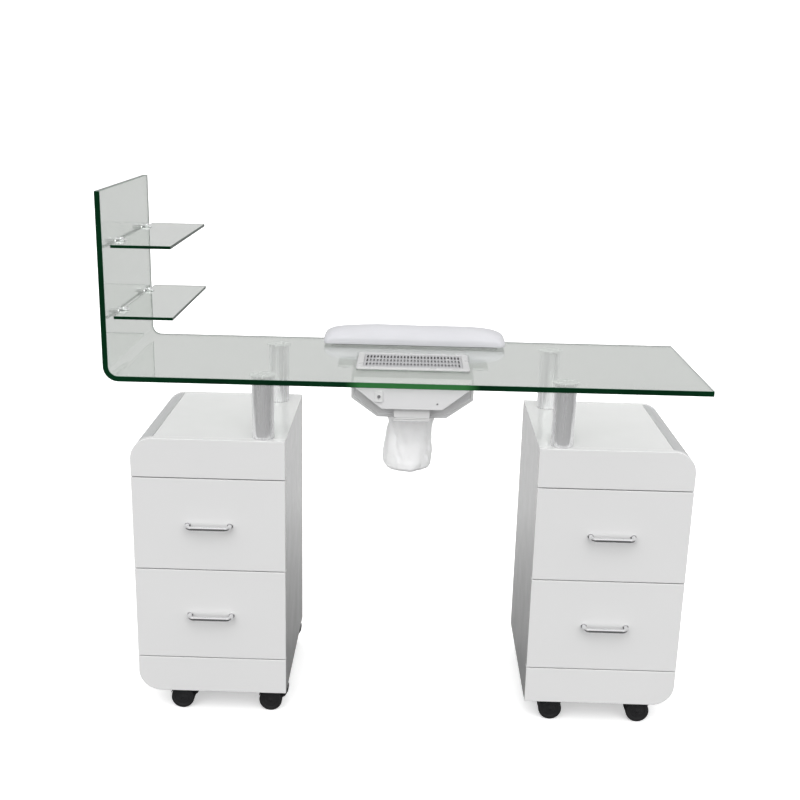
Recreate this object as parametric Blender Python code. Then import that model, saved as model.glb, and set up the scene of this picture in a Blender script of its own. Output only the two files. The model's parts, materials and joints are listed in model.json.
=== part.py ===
"""Manicure table: a bent glass top on chrome posts, standing on two drawer cabinets with casters.

Metres, +Z up. The origin is at floor level under the middle of the table's box.
+X runs along the table. The technician sits at -Y and the customer at +Y.
"""

import math

import bmesh
import bpy
from mathutils import Matrix

# Overall sizes
LENGTH = 1.200
BOX_DEPTH = 0.452
GLASS_DEPTH = 0.445
TABLE_HEIGHT = 0.755
PANEL_TOP = 1.110
GLASS = 0.011
BEND_RADIUS = 0.030
GAP = 0.0003

# Glass shelves on the upright panel
SHELF_TOPS = {"upper": 1.005, "lower": 0.866}
SHELF_THICKNESS = 0.006
SHELF_WIDTH = 0.1175
SHELF_FRONT = 0.042
SHELF_OFFSET = 0.0055
CLIP_SIZE = (0.020, 0.020, 0.015)
CLIP_BACK = 0.004
CLIP_DEPTHS = {"near": 0.115, "far": 0.368}

# Cabinets
CABINET_MIDDLE = 0.0132
CABINET_INNER = 0.2575
CABINET_OUTER = 0.5752
CABINET_BASE = 0.054
CABINET_TOP = 0.620
CABINET_FRONT = 0.033
CABINET_BACK = 0.444
CORNER = 0.045
BOARD = 0.016
WRAP = 0.010
FRONT_BOARD = 0.018
FRONT_GAP = 0.003
FRONT_EASE = 0.0012
DRAWER_LINES = (0.134, 0.336, 0.537)
DRAWER_CLEARANCE = 0.008
DRAWER_LENGTH = 0.340
DRAWER_HEIGHT = 0.150
DRAWER_LIFT = 0.015
DRAWER_WALL = 0.010
DRAWER_FLOOR = 0.006

# Bow handles
HANDLE_SPAN = 0.088
HANDLE_REACH = 0.0235
HANDLE_RADIUS = 0.0045
HANDLE_BEND = 0.012

# Posts
POST_RADIUS = 0.0225
DISC_RADIUS = 0.027
DISC_HEIGHT = 0.004
POST_OFFSET = 0.305
POST_DEPTHS = {"front": 0.064, "rear": 0.381}

# Casters
WHEEL_RADIUS = 0.025
WHEEL_SIDE = 0.022
WHEEL_EDGE = 0.002
WHEEL_GAP = 0.0008
WEB = 0.005
WEB_FOOT = 0.009
WEB_INSET = 0.0005
AXLE_RADIUS = 0.004
TRAIL = 0.010
HOOD_INNER = 0.0262
HOOD_OUTER = 0.0278
HOOD_ARC = (35, 155)
HOOD_OVERHANG = 0.001
BOSS_RADIUS = 0.009
BOSS_FOOT = 0.016
BOSS_LIFT = 0.0004
AXLE_CUT = 0.030
TAB_ARC = (5, 60)
TAB_CORNERS = ((0.020, 0.0282), (0.038, 0.0282), (0.038, 0.018), (0.031, 0.006))
TAB_HALF = 0.014
CASTER_X = {"left": (-0.464, -0.271), "right": (0.340, 0.530)}
CASTER_DEPTHS = {"front": 0.078, "rear": 0.399}

# Dust collector under the glass
COLLECTOR_X = 0.0105
VENT_DEPTH = 0.195
VENT_OUTER = (0.234, 0.154)
VENT_CUTOUT = (0.214, 0.134)
VENT_FLANGE = 0.004
VENT_LEDGE = 0.0018
VENT_SLEEVE = 0.010
VENT_PLAY = 0.001
VENT_LIP = 0.005
GRILLE_SIZE = (0.205, 0.125)
GRILLE_FIELD = (0.192, 0.105)
GRILLE_THICKNESS = 0.0016
GRILLE_SLOTS = 9
HOPPER_HALF = 0.1233
HOPPER_HALF_BOTTOM = 0.070
HOPPER_SHOULDER = 0.709
HOPPER_BOTTOM = 0.671
HOPPER_FRONT = 0.060
HOPPER_BACK = 0.300
HOPPER_WALL = 0.003
HOPPER_LID = 0.002
EAR = (0.036, 0.090, 0.004)
EAR_FRONT = 0.165
CUT_PAST = 0.010
COVER_FRONT = 0.014
COVER_HALF = 0.118
COVER_HALF_BOTTOM = 0.060
COVER_BOTTOM = 0.699
COVER_WALL = 0.0025
BLOCK_HALF = 0.036
BLOCK_FRONT = 0.026
BLOCK_BOTTOM = 0.6722
BLOCK_BITE = 0.0012
BLOCK_BACK_GAP = 0.0005
SWITCH_AT = (-0.0554, 0.7245)
SWITCH_SIZE = (0.016, 0.0032, 0.0225)
BUTTON_RADIUS = 0.003
BUTTON_PROUD = 0.0016
BUTTON_DEPTH = 0.0012
BUTTON_RECESS = 0.0028
COLLAR_RADIUS = 0.053
COLLAR_BORE = 0.044
COLLAR_BOTTOM = 0.644
# Steps of the collar's outside: reach beyond its radius, and distance from its top or bottom
COLLAR_TOP_STEPS = ((0.001, 0.0), (0.001, 0.005), (-0.002, 0.006), (-0.002, 0.009), (0.0, 0.010))
COLLAR_BOTTOM_STEPS = ((0.0, 0.006), (-0.002, 0.005), (-0.002, 0.0))
SPIDER_HUB = 0.016
SPIDER_ARMS = 3
SPIDER_HALF_WIDTH = 0.004
SPIDER_BITE = 0.003
SPIDER_LIFT = 0.002
SPIDER_HEIGHT = 0.006
ROTOR_HUB = 0.014
ROTOR_BLADES = 6
ROTOR_HALF_WIDTH = 0.0035
ROTOR_RADIUS = 0.040
ROTOR_HEIGHT = 0.008
ROTOR_CLEARANCE = 0.001
BAG_BOTTOM = 0.524
BAG_LEAN = 0.008
BAG_SIDES = 16
# Share of the bag's drop, and its radius there
BAG_LEVELS = (
    (0.0, 0.046),
    (0.10, 0.048),
    (0.35, 0.049),
    (0.65, 0.052),
    (0.85, 0.050),
    (0.95, 0.042),
    (1.0, 0.026),
)

# Armrest
REST_X = 0.0125
REST_SIZE = (0.404, 0.095, 0.0376)
REST_FRONT = 0.353
REST_BASE = (0.372, 0.076, 0.0037)
REST_ROUND = 0.012
REST_BASE_EASE = 0.001

GLASS_UNDER = TABLE_HEIGHT - GLASS


def depth(distance):
    """World Y of a distance measured back from the glass's front edge."""
    return distance - BOX_DEPTH / 2


def material(name, colour, roughness, metallic=0.0, transmission=0.0):
    made = bpy.data.materials.new(name)
    made.use_nodes = True
    shader = made.node_tree.nodes["Principled BSDF"]
    shader.inputs["Base Color"].default_value = (*colour, 1.0)
    shader.inputs["Roughness"].default_value = roughness
    shader.inputs["Metallic"].default_value = metallic
    shader.inputs["Transmission Weight"].default_value = transmission
    return made


def finish_object(name, bm, made, smooth=False):
    """Turns a bmesh into a named object with outward faces."""
    bmesh.ops.recalc_face_normals(bm, faces=bm.faces)
    mesh = bpy.data.meshes.new(name)
    bm.to_mesh(mesh)
    bm.free()
    obj = bpy.data.objects.new(name, mesh)
    bpy.context.scene.collection.objects.link(obj)
    if made:
        mesh.materials.append(made)
    if smooth:
        mesh.shade_smooth()
        mesh.set_sharp_from_angle(angle=math.radians(35))
    return obj


def put_origin(obj, origin):
    """Moves an object's origin without moving its shape."""
    for vertex in obj.data.vertices:
        for axis in range(3):
            vertex.co[axis] -= origin[axis]
    obj.location = origin


def box(name, low, high, made, bevel=0.0, segments=2):
    bm = bmesh.new()
    bmesh.ops.create_cube(bm, size=1.0)
    for vertex in bm.verts:
        for axis in range(3):
            middle = (low[axis] + high[axis]) / 2
            vertex.co[axis] = middle + vertex.co[axis] * (high[axis] - low[axis])
    obj = finish_object(name, bm, made, smooth=bevel > 0)
    if bevel > 0:
        add_bevel(obj, bevel, segments)
    return obj


def add_bevel(obj, width, segments=2):
    bevel = obj.modifiers.new("edges", "BEVEL")
    bevel.width = width
    bevel.segments = segments
    bevel.limit_method = "ANGLE"
    bevel.angle_limit = math.radians(35)


def arc(centre, radius, start, end, steps):
    """Points on a circle from one angle to another, in degrees."""
    points = []
    for i in range(steps + 1):
        angle = math.radians(start + (end - start) * i / steps)
        points.append((centre[0] + radius * math.cos(angle), centre[1] + radius * math.sin(angle)))
    return points


def prism(name, outline, low, high, made, smooth=False):
    """Extrudes an outline in X and Z along Y."""
    bm = bmesh.new()
    face = bm.faces.new([bm.verts.new((x, low, z)) for x, z in outline])
    pushed = bmesh.ops.extrude_face_region(bm, geom=[face])["geom"]
    moved = [item for item in pushed if isinstance(item, bmesh.types.BMVert)]
    bmesh.ops.translate(bm, verts=moved, vec=(0, high - low, 0))
    return finish_object(name, bm, made, smooth)


def upright_prism(name, outline, low, high, made):
    """Extrudes an outline in X and Y along Z."""
    bm = bmesh.new()
    face = bm.faces.new([bm.verts.new((x, y, low)) for x, y in outline])
    pushed = bmesh.ops.extrude_face_region(bm, geom=[face])["geom"]
    moved = [item for item in pushed if isinstance(item, bmesh.types.BMVert)]
    bmesh.ops.translate(bm, verts=moved, vec=(0, 0, high - low))
    return finish_object(name, bm, made)


def turned(name, profile, centre, axis, segments, made, closed=False):
    """Spins a profile of (radius, height) points about an axis, "Z" or "Y", through the centre."""
    bm = bmesh.new()
    verts = []
    for radius, height in profile:
        place = (radius, 0, height) if axis == "Z" else (radius, height, 0)
        verts.append(bm.verts.new(place))
    ends = list(zip(verts, verts[1:])) + ([(verts[-1], verts[0])] if closed else [])
    edges = [bm.edges.new(pair) for pair in ends]
    spin_axis = (0, 0, 1) if axis == "Z" else (0, 1, 0)
    bmesh.ops.spin(bm, geom=verts + edges, cent=(0, 0, 0), axis=spin_axis, angle=2 * math.pi, steps=segments)
    bmesh.ops.remove_doubles(bm, verts=bm.verts, dist=1e-6)
    bmesh.ops.translate(bm, verts=bm.verts, vec=centre)
    return finish_object(name, bm, made, smooth=True)


def boolean(target, other, operation="DIFFERENCE"):
    """Cuts or joins with a helper object, which isn't a part of the table."""
    other.hide_render = True
    other.display_type = "WIRE"
    modifier = target.modifiers.new(operation.lower(), "BOOLEAN")
    modifier.operation = operation
    modifier.solver = "EXACT"
    modifier.object = other


def baked_mesh(obj):
    """The object's mesh with its modifiers applied, for copies to share."""
    graph = bpy.context.evaluated_depsgraph_get()
    graph.update()
    mesh = bpy.data.meshes.new_from_object(obj.evaluated_get(graph))
    mesh.name = obj.name
    return mesh


def inset_outline(outline, distance):
    """An outline moved inwards by a distance on every side, for a convex outline in either order."""
    area = sum(a[0] * b[1] - b[0] * a[1] for a, b in zip(outline, outline[1:] + outline[:1]))
    turn = 1 if area > 0 else -1
    lines = []
    for a, b in zip(outline, outline[1:] + outline[:1]):
        run, rise = b[0] - a[0], b[1] - a[1]
        size = math.hypot(run, rise)
        normal = (-rise / size * turn, run / size * turn)
        lines.append((normal, normal[0] * a[0] + normal[1] * a[1] + distance))
    points = []
    for (n, d), (m, e) in zip(lines[-1:] + lines[:-1], lines):
        cross = n[0] * m[1] - n[1] * m[0]
        points.append(((d * m[1] - e * n[1]) / cross, (n[0] * e - m[0] * d) / cross))
    return points


def rectangle_ring(name, loops, centre, made):
    """A closed frame whose section is a loop of (width, depth, height) rectangles."""
    bm = bmesh.new()
    rings = []
    for width, long, height in loops:
        corners = ((-1, -1), (1, -1), (1, 1), (-1, 1))
        rings.append(
            [bm.verts.new((centre[0] + sx * width / 2, centre[1] + sy * long / 2, height)) for sx, sy in corners]
        )
    for ring, following in zip(rings, rings[1:] + rings[:1]):
        for i in range(4):
            j = (i + 1) % 4
            bm.faces.new((ring[i], ring[j], following[j], following[i]))
    return finish_object(name, bm, made)


def make_materials():
    return {
        "glass": material("clear_glass", (0.80, 0.88, 0.83), 0.02, transmission=1.0),
        "chrome": material("chrome", (0.85, 0.85, 0.86), 0.08, metallic=1.0),
        "steel": material("brushed_steel", (0.66, 0.66, 0.67), 0.25, metallic=1.0),
        "lacquer": material("white_lacquer", (0.82, 0.82, 0.82), 0.22),
        "silver": material("silver_laminate", (0.52, 0.53, 0.54), 0.30),
        "liner": material("drawer_liner", (0.74, 0.74, 0.73), 0.45),
        "housing": material("white_housing", (0.80, 0.80, 0.80), 0.35),
        "cushion": material("white_vinyl", (0.80, 0.80, 0.83), 0.42),
        "bag": material("white_cloth", (0.84, 0.84, 0.85), 0.85),
        "black": material("black_plastic", (0.015, 0.015, 0.016), 0.35),
    }


def make_glass(made):
    """The worktop and the upright panel are one bent sheet with a cutout for the vent."""
    left = -LENGTH / 2
    bend = (left + BEND_RADIUS, GLASS_UNDER + BEND_RADIUS)
    outline = [(LENGTH / 2, GLASS_UNDER)]
    outline += arc(bend, BEND_RADIUS, 270, 180, 8)
    outline += [(left, PANEL_TOP), (left + GLASS, PANEL_TOP)]
    outline += arc(bend, BEND_RADIUS - GLASS, 180, 270, 8)
    outline.append((LENGTH / 2, TABLE_HEIGHT))
    sheet = prism("glass_top", outline, depth(0), depth(GLASS_DEPTH), made["glass"], smooth=True)
    half = (VENT_CUTOUT[0] / 2, VENT_CUTOUT[1] / 2)
    low = (COLLECTOR_X - half[0], depth(VENT_DEPTH) - half[1], GLASS_UNDER - GLASS)
    high = (COLLECTOR_X + half[0], depth(VENT_DEPTH) + half[1], TABLE_HEIGHT + GLASS)
    boolean(sheet, box("vent_cutter", low, high, None))


def make_shelves(made):
    face = -LENGTH / 2 + GLASS
    for name, top in SHELF_TOPS.items():
        low = (face + SHELF_OFFSET, depth(SHELF_FRONT), top - SHELF_THICKNESS)
        high = (low[0] + SHELF_WIDTH, depth(BOX_DEPTH), top)
        box("shelf_" + name, low, high, made["glass"])
        middle = top - SHELF_THICKNESS / 2
        slot = SHELF_THICKNESS / 2 + GAP
        for end, distance in CLIP_DEPTHS.items():
            make_clip("clip_%s_%s" % (name, end), face + GAP, distance, middle, slot, made["chrome"])


def make_clip(name, face, distance, middle, slot, made):
    """A clip with two jaws that hold the shelf's edge."""
    length, width, height = CLIP_SIZE
    back, tip = face + CLIP_BACK, face + length
    low, high = middle - height / 2, middle + height / 2
    outline = [(face, low), (tip, low), (tip, middle - slot), (back, middle - slot)]
    outline += [(back, middle + slot), (tip, middle + slot), (tip, high), (face, high)]
    prism(name, outline, depth(distance) - width / 2, depth(distance) + width / 2, made)


def make_armrest(made):
    centre = (REST_X, depth(REST_FRONT + REST_SIZE[1] / 2))
    floor = TABLE_HEIGHT + GAP
    board_top = floor + REST_BASE[2]
    low = (centre[0] - REST_BASE[0] / 2, centre[1] - REST_BASE[1] / 2, floor)
    high = (centre[0] + REST_BASE[0] / 2, centre[1] + REST_BASE[1] / 2, board_top)
    box("armrest_base", low, high, made["black"], bevel=REST_BASE_EASE, segments=1)
    low = (centre[0] - REST_SIZE[0] / 2, centre[1] - REST_SIZE[1] / 2, board_top + GAP)
    high = (centre[0] + REST_SIZE[0] / 2, centre[1] + REST_SIZE[1] / 2, board_top + GAP + REST_SIZE[2])
    box("armrest_cushion", low, high, made["cushion"], bevel=REST_ROUND, segments=3)


def make_vent(made):
    """A frame whose flange lies on the glass and whose sleeve fills the cutout, with a lift-out grille."""
    centre = (COLLECTOR_X, depth(VENT_DEPTH))
    flange_top = TABLE_HEIGHT + VENT_FLANGE
    flange_under = TABLE_HEIGHT + GAP
    ledge = TABLE_HEIGHT + VENT_LEDGE
    end = TABLE_HEIGHT - VENT_SLEEVE
    sleeve = (VENT_CUTOUT[0] - VENT_PLAY, VENT_CUTOUT[1] - VENT_PLAY)
    mouth = (GRILLE_SIZE[0] + VENT_PLAY, GRILLE_SIZE[1] + VENT_PLAY)
    throat = (GRILLE_SIZE[0] - VENT_LIP, GRILLE_SIZE[1] - VENT_LIP)
    loops = [(*VENT_OUTER, flange_top), (*VENT_OUTER, flange_under), (*sleeve, flange_under), (*sleeve, end)]
    loops += [(*throat, end), (*throat, ledge), (*mouth, ledge), (*mouth, flange_top)]
    rectangle_ring("vent_frame", loops, centre, made["housing"])
    make_grille(centre, ledge + GAP, made["housing"])


def make_grille(centre, under, made):
    """A plate with a row of slots that run across it."""
    slot = GRILLE_FIELD[0] / (2 * GRILLE_SLOTS - 1)
    first = -GRILLE_FIELD[0] / 2
    sides = [first + slot * i for i in range(2 * GRILLE_SLOTS)]
    columns = [-GRILLE_SIZE[0] / 2] + sides + [GRILLE_SIZE[0] / 2]
    rows = [-GRILLE_SIZE[1] / 2, -GRILLE_FIELD[1] / 2, GRILLE_FIELD[1] / 2, GRILLE_SIZE[1] / 2]
    bm = bmesh.new()
    grid = [[bm.verts.new((centre[0] + x, centre[1] + y, under)) for y in rows] for x in columns]
    for i in range(len(columns) - 1):
        for j in range(len(rows) - 1):
            if i % 2 == 1 and j == 1:
                continue
            bm.faces.new((grid[i][j], grid[i + 1][j], grid[i + 1][j + 1], grid[i][j + 1]))
    obj = finish_object("vent_grille", bm, made)
    for polygon in obj.data.polygons:
        if polygon.normal.z < 0:
            polygon.flip()
    solid = obj.modifiers.new("thickness", "SOLIDIFY")
    solid.thickness = GRILLE_THICKNESS
    solid.offset = 1.0


def hopper_outline(top, half, shoulder, half_bottom, bottom):
    """The section of a tray that narrows towards its floor."""
    right = [(COLLECTOR_X + half, top), (COLLECTOR_X + half, shoulder), (COLLECTOR_X + half_bottom, bottom)]
    left = [(2 * COLLECTOR_X - x, z) for x, z in reversed(right)]
    return right + left


def make_collector(made):
    """A hopper with a lid under the glass, which is open below the vent and has a bore in its floor."""
    top = GLASS_UNDER - GAP
    outline = hopper_outline(top, HOPPER_HALF, HOPPER_SHOULDER, HOPPER_HALF_BOTTOM, HOPPER_BOTTOM)
    hopper = prism("collector_hopper", outline, depth(HOPPER_FRONT), depth(HOPPER_BACK), made["housing"])
    for side in (-1, 1):
        root = COLLECTOR_X + side * (HOPPER_HALF - HOPPER_WALL / 2)
        tip = root + side * EAR[0]
        low = (min(root, tip), depth(EAR_FRONT), top - EAR[2])
        high = (max(root, tip), depth(EAR_FRONT + EAR[1]), top)
        boolean(hopper, box("ear_helper", low, high, None), "UNION")
    inner = inset_outline(outline, HOPPER_WALL)
    inner = [(x, top - HOPPER_LID if z > HOPPER_SHOULDER + HOPPER_WALL else z) for x, z in inner]
    low, high = depth(HOPPER_FRONT) + HOPPER_WALL, depth(HOPPER_BACK) - HOPPER_WALL
    boolean(hopper, prism("hopper_cutter", inner, low, high, None))
    middle = (COLLECTOR_X, depth(VENT_DEPTH), 0)
    half_width, half_depth = VENT_CUTOUT[0] / 2, VENT_CUTOUT[1] / 2
    low = (middle[0] - half_width, middle[1] - half_depth, top - HOPPER_LID - GAP)
    high = (middle[0] + half_width, middle[1] + half_depth, top + HOPPER_LID)
    boolean(hopper, box("mouth_cutter", low, high, None))
    bore = [(0, HOPPER_BOTTOM + CUT_PAST), (COLLAR_BORE, HOPPER_BOTTOM + CUT_PAST)]
    bore += [(COLLAR_BORE, HOPPER_BOTTOM - CUT_PAST), (0, HOPPER_BOTTOM - CUT_PAST)]
    boolean(hopper, turned("bore_cutter", bore, middle, "Z", 32, None))
    make_cover(top, made)
    make_fan(middle, made)


def make_cover(top, made):
    """The sloping front cover, open towards the hopper, with a block below it and its switch."""
    outline = [(COLLECTOR_X + COVER_HALF, top), (COLLECTOR_X + COVER_HALF_BOTTOM, COVER_BOTTOM)]
    outline += [(2 * COLLECTOR_X - x, z) for x, z in reversed(outline)]
    front, back = depth(COVER_FRONT), depth(HOPPER_FRONT) - GAP
    cover = prism("collector_cover", outline, front, back, made["housing"])
    inner = inset_outline(outline, COVER_WALL)
    boolean(cover, prism("cover_cutter", inner, front + COVER_WALL, back + COVER_WALL, None))
    low = (COLLECTOR_X - BLOCK_HALF, depth(BLOCK_FRONT), BLOCK_BOTTOM)
    high = (COLLECTOR_X + BLOCK_HALF, back - BLOCK_BACK_GAP, COVER_BOTTOM + BLOCK_BITE)
    boolean(cover, box("block_helper", low, high, None), "UNION")

    width, thick, height = SWITCH_SIZE
    face = front - GAP - thick
    low = (SWITCH_AT[0] - width / 2, face, SWITCH_AT[1] - height / 2)
    high = (SWITCH_AT[0] + width / 2, front - GAP, SWITCH_AT[1] + height / 2)
    plate = box("switch_plate", low, high, made["housing"])
    recess = [(0, face - GAP), (BUTTON_RADIUS + GAP, face - GAP)]
    recess += [(BUTTON_RADIUS + GAP, face + BUTTON_RECESS), (0, face + BUTTON_RECESS)]
    middle = (SWITCH_AT[0], 0, SWITCH_AT[1])
    boolean(plate, turned("recess_cutter", recess, middle, "Y", 16, None))
    profile = [(0, face - BUTTON_PROUD), (BUTTON_RADIUS, face - BUTTON_PROUD)]
    profile += [(BUTTON_RADIUS, face + BUTTON_DEPTH), (0, face + BUTTON_DEPTH)]
    button = turned("switch_button", profile, middle, "Y", 16, made["black"])
    put_origin(button, (SWITCH_AT[0], face, SWITCH_AT[1]))


def star_outline(centre, hub, tip, arms, half_width):
    """A hub with flat arms, in X and Y."""
    points = []
    for arm in range(arms):
        angle = 2 * math.pi * arm / arms + math.pi / 2
        along, across = (math.cos(angle), math.sin(angle)), (-math.sin(angle), math.cos(angle))
        root = math.sqrt(hub**2 - half_width**2)
        for reach, side in ((root, -1), (tip, -1), (tip, 1), (root, 1)):
            x = centre[0] + reach * along[0] + side * half_width * across[0]
            y = centre[1] + reach * along[1] + side * half_width * across[1]
            points.append((x, y))
        middle = angle + math.pi / arms
        points.append((centre[0] + hub * math.cos(middle), centre[1] + hub * math.sin(middle)))
    return points


def make_fan(middle, made):
    """The round collar under the hopper, its rotor and the bag that hangs from it."""
    top = HOPPER_BOTTOM - GAP
    profile = [(COLLAR_BORE, top)]
    profile += [(COLLAR_RADIUS + reach, top - fall) for reach, fall in COLLAR_TOP_STEPS]
    profile += [(COLLAR_RADIUS + reach, COLLAR_BOTTOM + rise) for reach, rise in COLLAR_BOTTOM_STEPS]
    profile.append((COLLAR_BORE, COLLAR_BOTTOM))
    collar = turned("fan_collar", profile, middle, "Z", 32, made["housing"], closed=True)
    spider = star_outline(middle, SPIDER_HUB, COLLAR_BORE + SPIDER_BITE, SPIDER_ARMS, SPIDER_HALF_WIDTH)
    low = COLLAR_BOTTOM + SPIDER_LIFT
    boolean(collar, upright_prism("spider_helper", spider, low, low + SPIDER_HEIGHT, None), "UNION")
    low += SPIDER_HEIGHT + ROTOR_CLEARANCE
    blades = star_outline(middle, ROTOR_HUB, ROTOR_RADIUS, ROTOR_BLADES, ROTOR_HALF_WIDTH)
    rotor = upright_prism("fan_rotor", blades, low, low + ROTOR_HEIGHT, made["black"])
    put_origin(rotor, (middle[0], middle[1], low))
    make_bag(middle, made["bag"])


def make_bag(middle, made):
    """A short cloth bag that hangs from the collar and leans a little to the left."""
    top = COLLAR_BOTTOM - GAP
    drop = top - BAG_BOTTOM
    last = 360 - 360 / BAG_SIDES
    bm = bmesh.new()
    rings = []
    for share, radius in BAG_LEVELS:
        x = middle[0] - BAG_LEAN * share
        z = top - drop * share
        ring = [bm.verts.new((px, py, z)) for px, py in arc((x, middle[1]), radius, 0, last, BAG_SIDES - 1)]
        rings.append(ring)
    for upper, lower in zip(rings, rings[1:]):
        for i in range(len(upper)):
            j = (i + 1) % len(upper)
            bm.faces.new((upper[i], upper[j], lower[j], lower[i]))
    bm.faces.new(rings[0])
    bm.faces.new(rings[-1])
    finish_object("dust_bag", bm, made, smooth=True)


def make_posts(side, sign, made):
    for end, distance in POST_DEPTHS.items():
        low, high = CABINET_TOP + GAP, GLASS_UNDER - GAP
        profile = [(0, low), (POST_RADIUS, low), (POST_RADIUS, high - DISC_HEIGHT)]
        profile += [(DISC_RADIUS, high - DISC_HEIGHT), (DISC_RADIUS, high), (0, high)]
        centre = (CABINET_MIDDLE + sign * POST_OFFSET, depth(distance), 0)
        turned("post_%s_%s" % (side, end), profile, centre, "Z", 28, made["steel"])


def make_cabinet(side, sign, made):
    """One cabinet: a C of boards, a bent silver board round its outer side, a back and the front panels."""

    def across(points):
        """Distances outwards from the cabinet's inner face to world X."""
        return [(CABINET_MIDDLE + sign * (CABINET_INNER + u), z) for u, z in points]

    width = CABINET_OUTER - CABINET_INNER
    straight = width - CORNER
    base, top = CABINET_BASE, CABINET_TOP
    front = depth(CABINET_FRONT)
    inside_front = front + FRONT_BOARD + GAP
    back = depth(CABINET_BACK)
    inside_back = back - BOARD - GAP

    boards = [(0, base), (straight - GAP, base), (straight - GAP, base + BOARD), (BOARD, base + BOARD)]
    boards += [(u, base + top - z) for u, z in reversed(boards)]
    prism("carcass_" + side, across(boards), inside_front, inside_back, made["lacquer"])

    low_corner, high_corner = (straight, base + CORNER), (straight, top - CORNER)
    wrap = arc(low_corner, CORNER, 270, 360, 8) + arc(high_corner, CORNER, 0, 90, 8)
    wrap += arc(high_corner, CORNER - WRAP, 90, 0, 8) + arc(low_corner, CORNER - WRAP, 360, 270, 8)
    prism("wrap_" + side, across(wrap), inside_front, inside_back, made["silver"], smooth=True)

    rounded = [(0, base)] + arc(low_corner, CORNER, 270, 360, 8)
    rounded += arc(high_corner, CORNER, 0, 90, 8) + [(0, top)]
    prism("back_" + side, across(rounded), back - BOARD, back, made["lacquer"])

    half_gap = FRONT_GAP / 2
    upper = [(0, DRAWER_LINES[2] + half_gap), (width, DRAWER_LINES[2] + half_gap)]
    upper += arc(high_corner, CORNER, 0, 90, 8) + [(0, top)]
    behind = front + FRONT_BOARD
    fascia = prism("fascia_top_" + side, across(upper), front, behind, made["lacquer"], smooth=True)
    add_bevel(fascia, FRONT_EASE, 1)
    lower = [(0, base)] + arc(low_corner, CORNER, 270, 360, 8)
    lower += [(width, DRAWER_LINES[0] - half_gap), (0, DRAWER_LINES[0] - half_gap)]
    fascia = prism("fascia_bottom_" + side, across(lower), front, behind, made["lacquer"], smooth=True)
    add_bevel(fascia, FRONT_EASE, 1)

    clear = ((BOARD + DRAWER_CLEARANCE, 0), (width - WRAP - DRAWER_CLEARANCE, 0))
    ends = sorted(x for x, _ in across([(0, 0), (width, 0)]))
    inner = sorted(x for x, _ in across(clear))
    for name, floor, ceiling in (("lower", *DRAWER_LINES[:2]), ("upper", *DRAWER_LINES[1:])):
        make_drawer("%s_%s" % (side, name), ends, inner, floor, ceiling, made)


def make_drawer(name, ends, inner, floor, ceiling, made):
    front = depth(CABINET_FRONT)
    low = (ends[0], front, floor + FRONT_GAP / 2)
    high = (ends[1], front + FRONT_BOARD, ceiling - FRONT_GAP / 2)
    panel = box("drawer_front_" + name, low, high, made["lacquer"], bevel=FRONT_EASE, segments=1)
    middle = ((ends[0] + ends[1]) / 2, front, (floor + ceiling) / 2)
    put_origin(panel, middle)

    start = front + FRONT_BOARD + GAP
    bottom = floor + DRAWER_LIFT
    low = (inner[0], start, bottom)
    high = (inner[1], start + DRAWER_LENGTH, bottom + DRAWER_HEIGHT)
    tray("drawer_box_" + name, low, high, made["liner"])
    bow_handle("handle_" + name, middle, made["chrome"])


def tray(name, low, high, made):
    """An open-topped box with a floor."""
    bm = bmesh.new()
    inside_low = (low[0] + DRAWER_WALL, low[1] + DRAWER_WALL, low[2] + DRAWER_FLOOR)
    inside_high = (high[0] - DRAWER_WALL, high[1] - DRAWER_WALL, high[2])
    rings = []
    levels = ((low, high, low[2]), (low, high, high[2]))
    levels += ((inside_low, inside_high, high[2]), (inside_low, inside_high, inside_low[2]))
    for a, b, z in levels:
        corners = ((a[0], a[1]), (b[0], a[1]), (b[0], b[1]), (a[0], b[1]))
        rings.append([bm.verts.new((x, y, z)) for x, y in corners])
    for ring, following in zip(rings, rings[1:]):
        for i in range(4):
            j = (i + 1) % 4
            bm.faces.new((ring[i], ring[j], following[j], following[i]))
    bm.faces.new(rings[0])
    bm.faces.new(rings[-1])
    finish_object(name, bm, made)


def bow_handle(name, middle, made):
    """A round bar that stands on the drawer front at both ends."""
    x, face, z = middle
    half, reach = HANDLE_SPAN / 2, HANDLE_REACH
    start = face - GAP
    corner = (half - HANDLE_BEND, -(reach - HANDLE_BEND))
    path = [(half, 0)] + arc(corner, HANDLE_BEND, 0, -90, 4)
    path += [(-u, v) for u, v in reversed(path)]
    curve = bpy.data.curves.new(name, "CURVE")
    curve.dimensions = "3D"
    curve.bevel_depth = HANDLE_RADIUS
    curve.bevel_resolution = 2
    curve.use_fill_caps = True
    spline = curve.splines.new("POLY")
    spline.points.add(len(path) - 1)
    for point, (u, v) in zip(spline.points, path):
        point.co = (u, v, 0, 1)
    curve.materials.append(made)
    obj = bpy.data.objects.new(name, curve)
    bpy.context.scene.collection.objects.link(obj)
    obj.location = (x, start, z)


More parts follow.
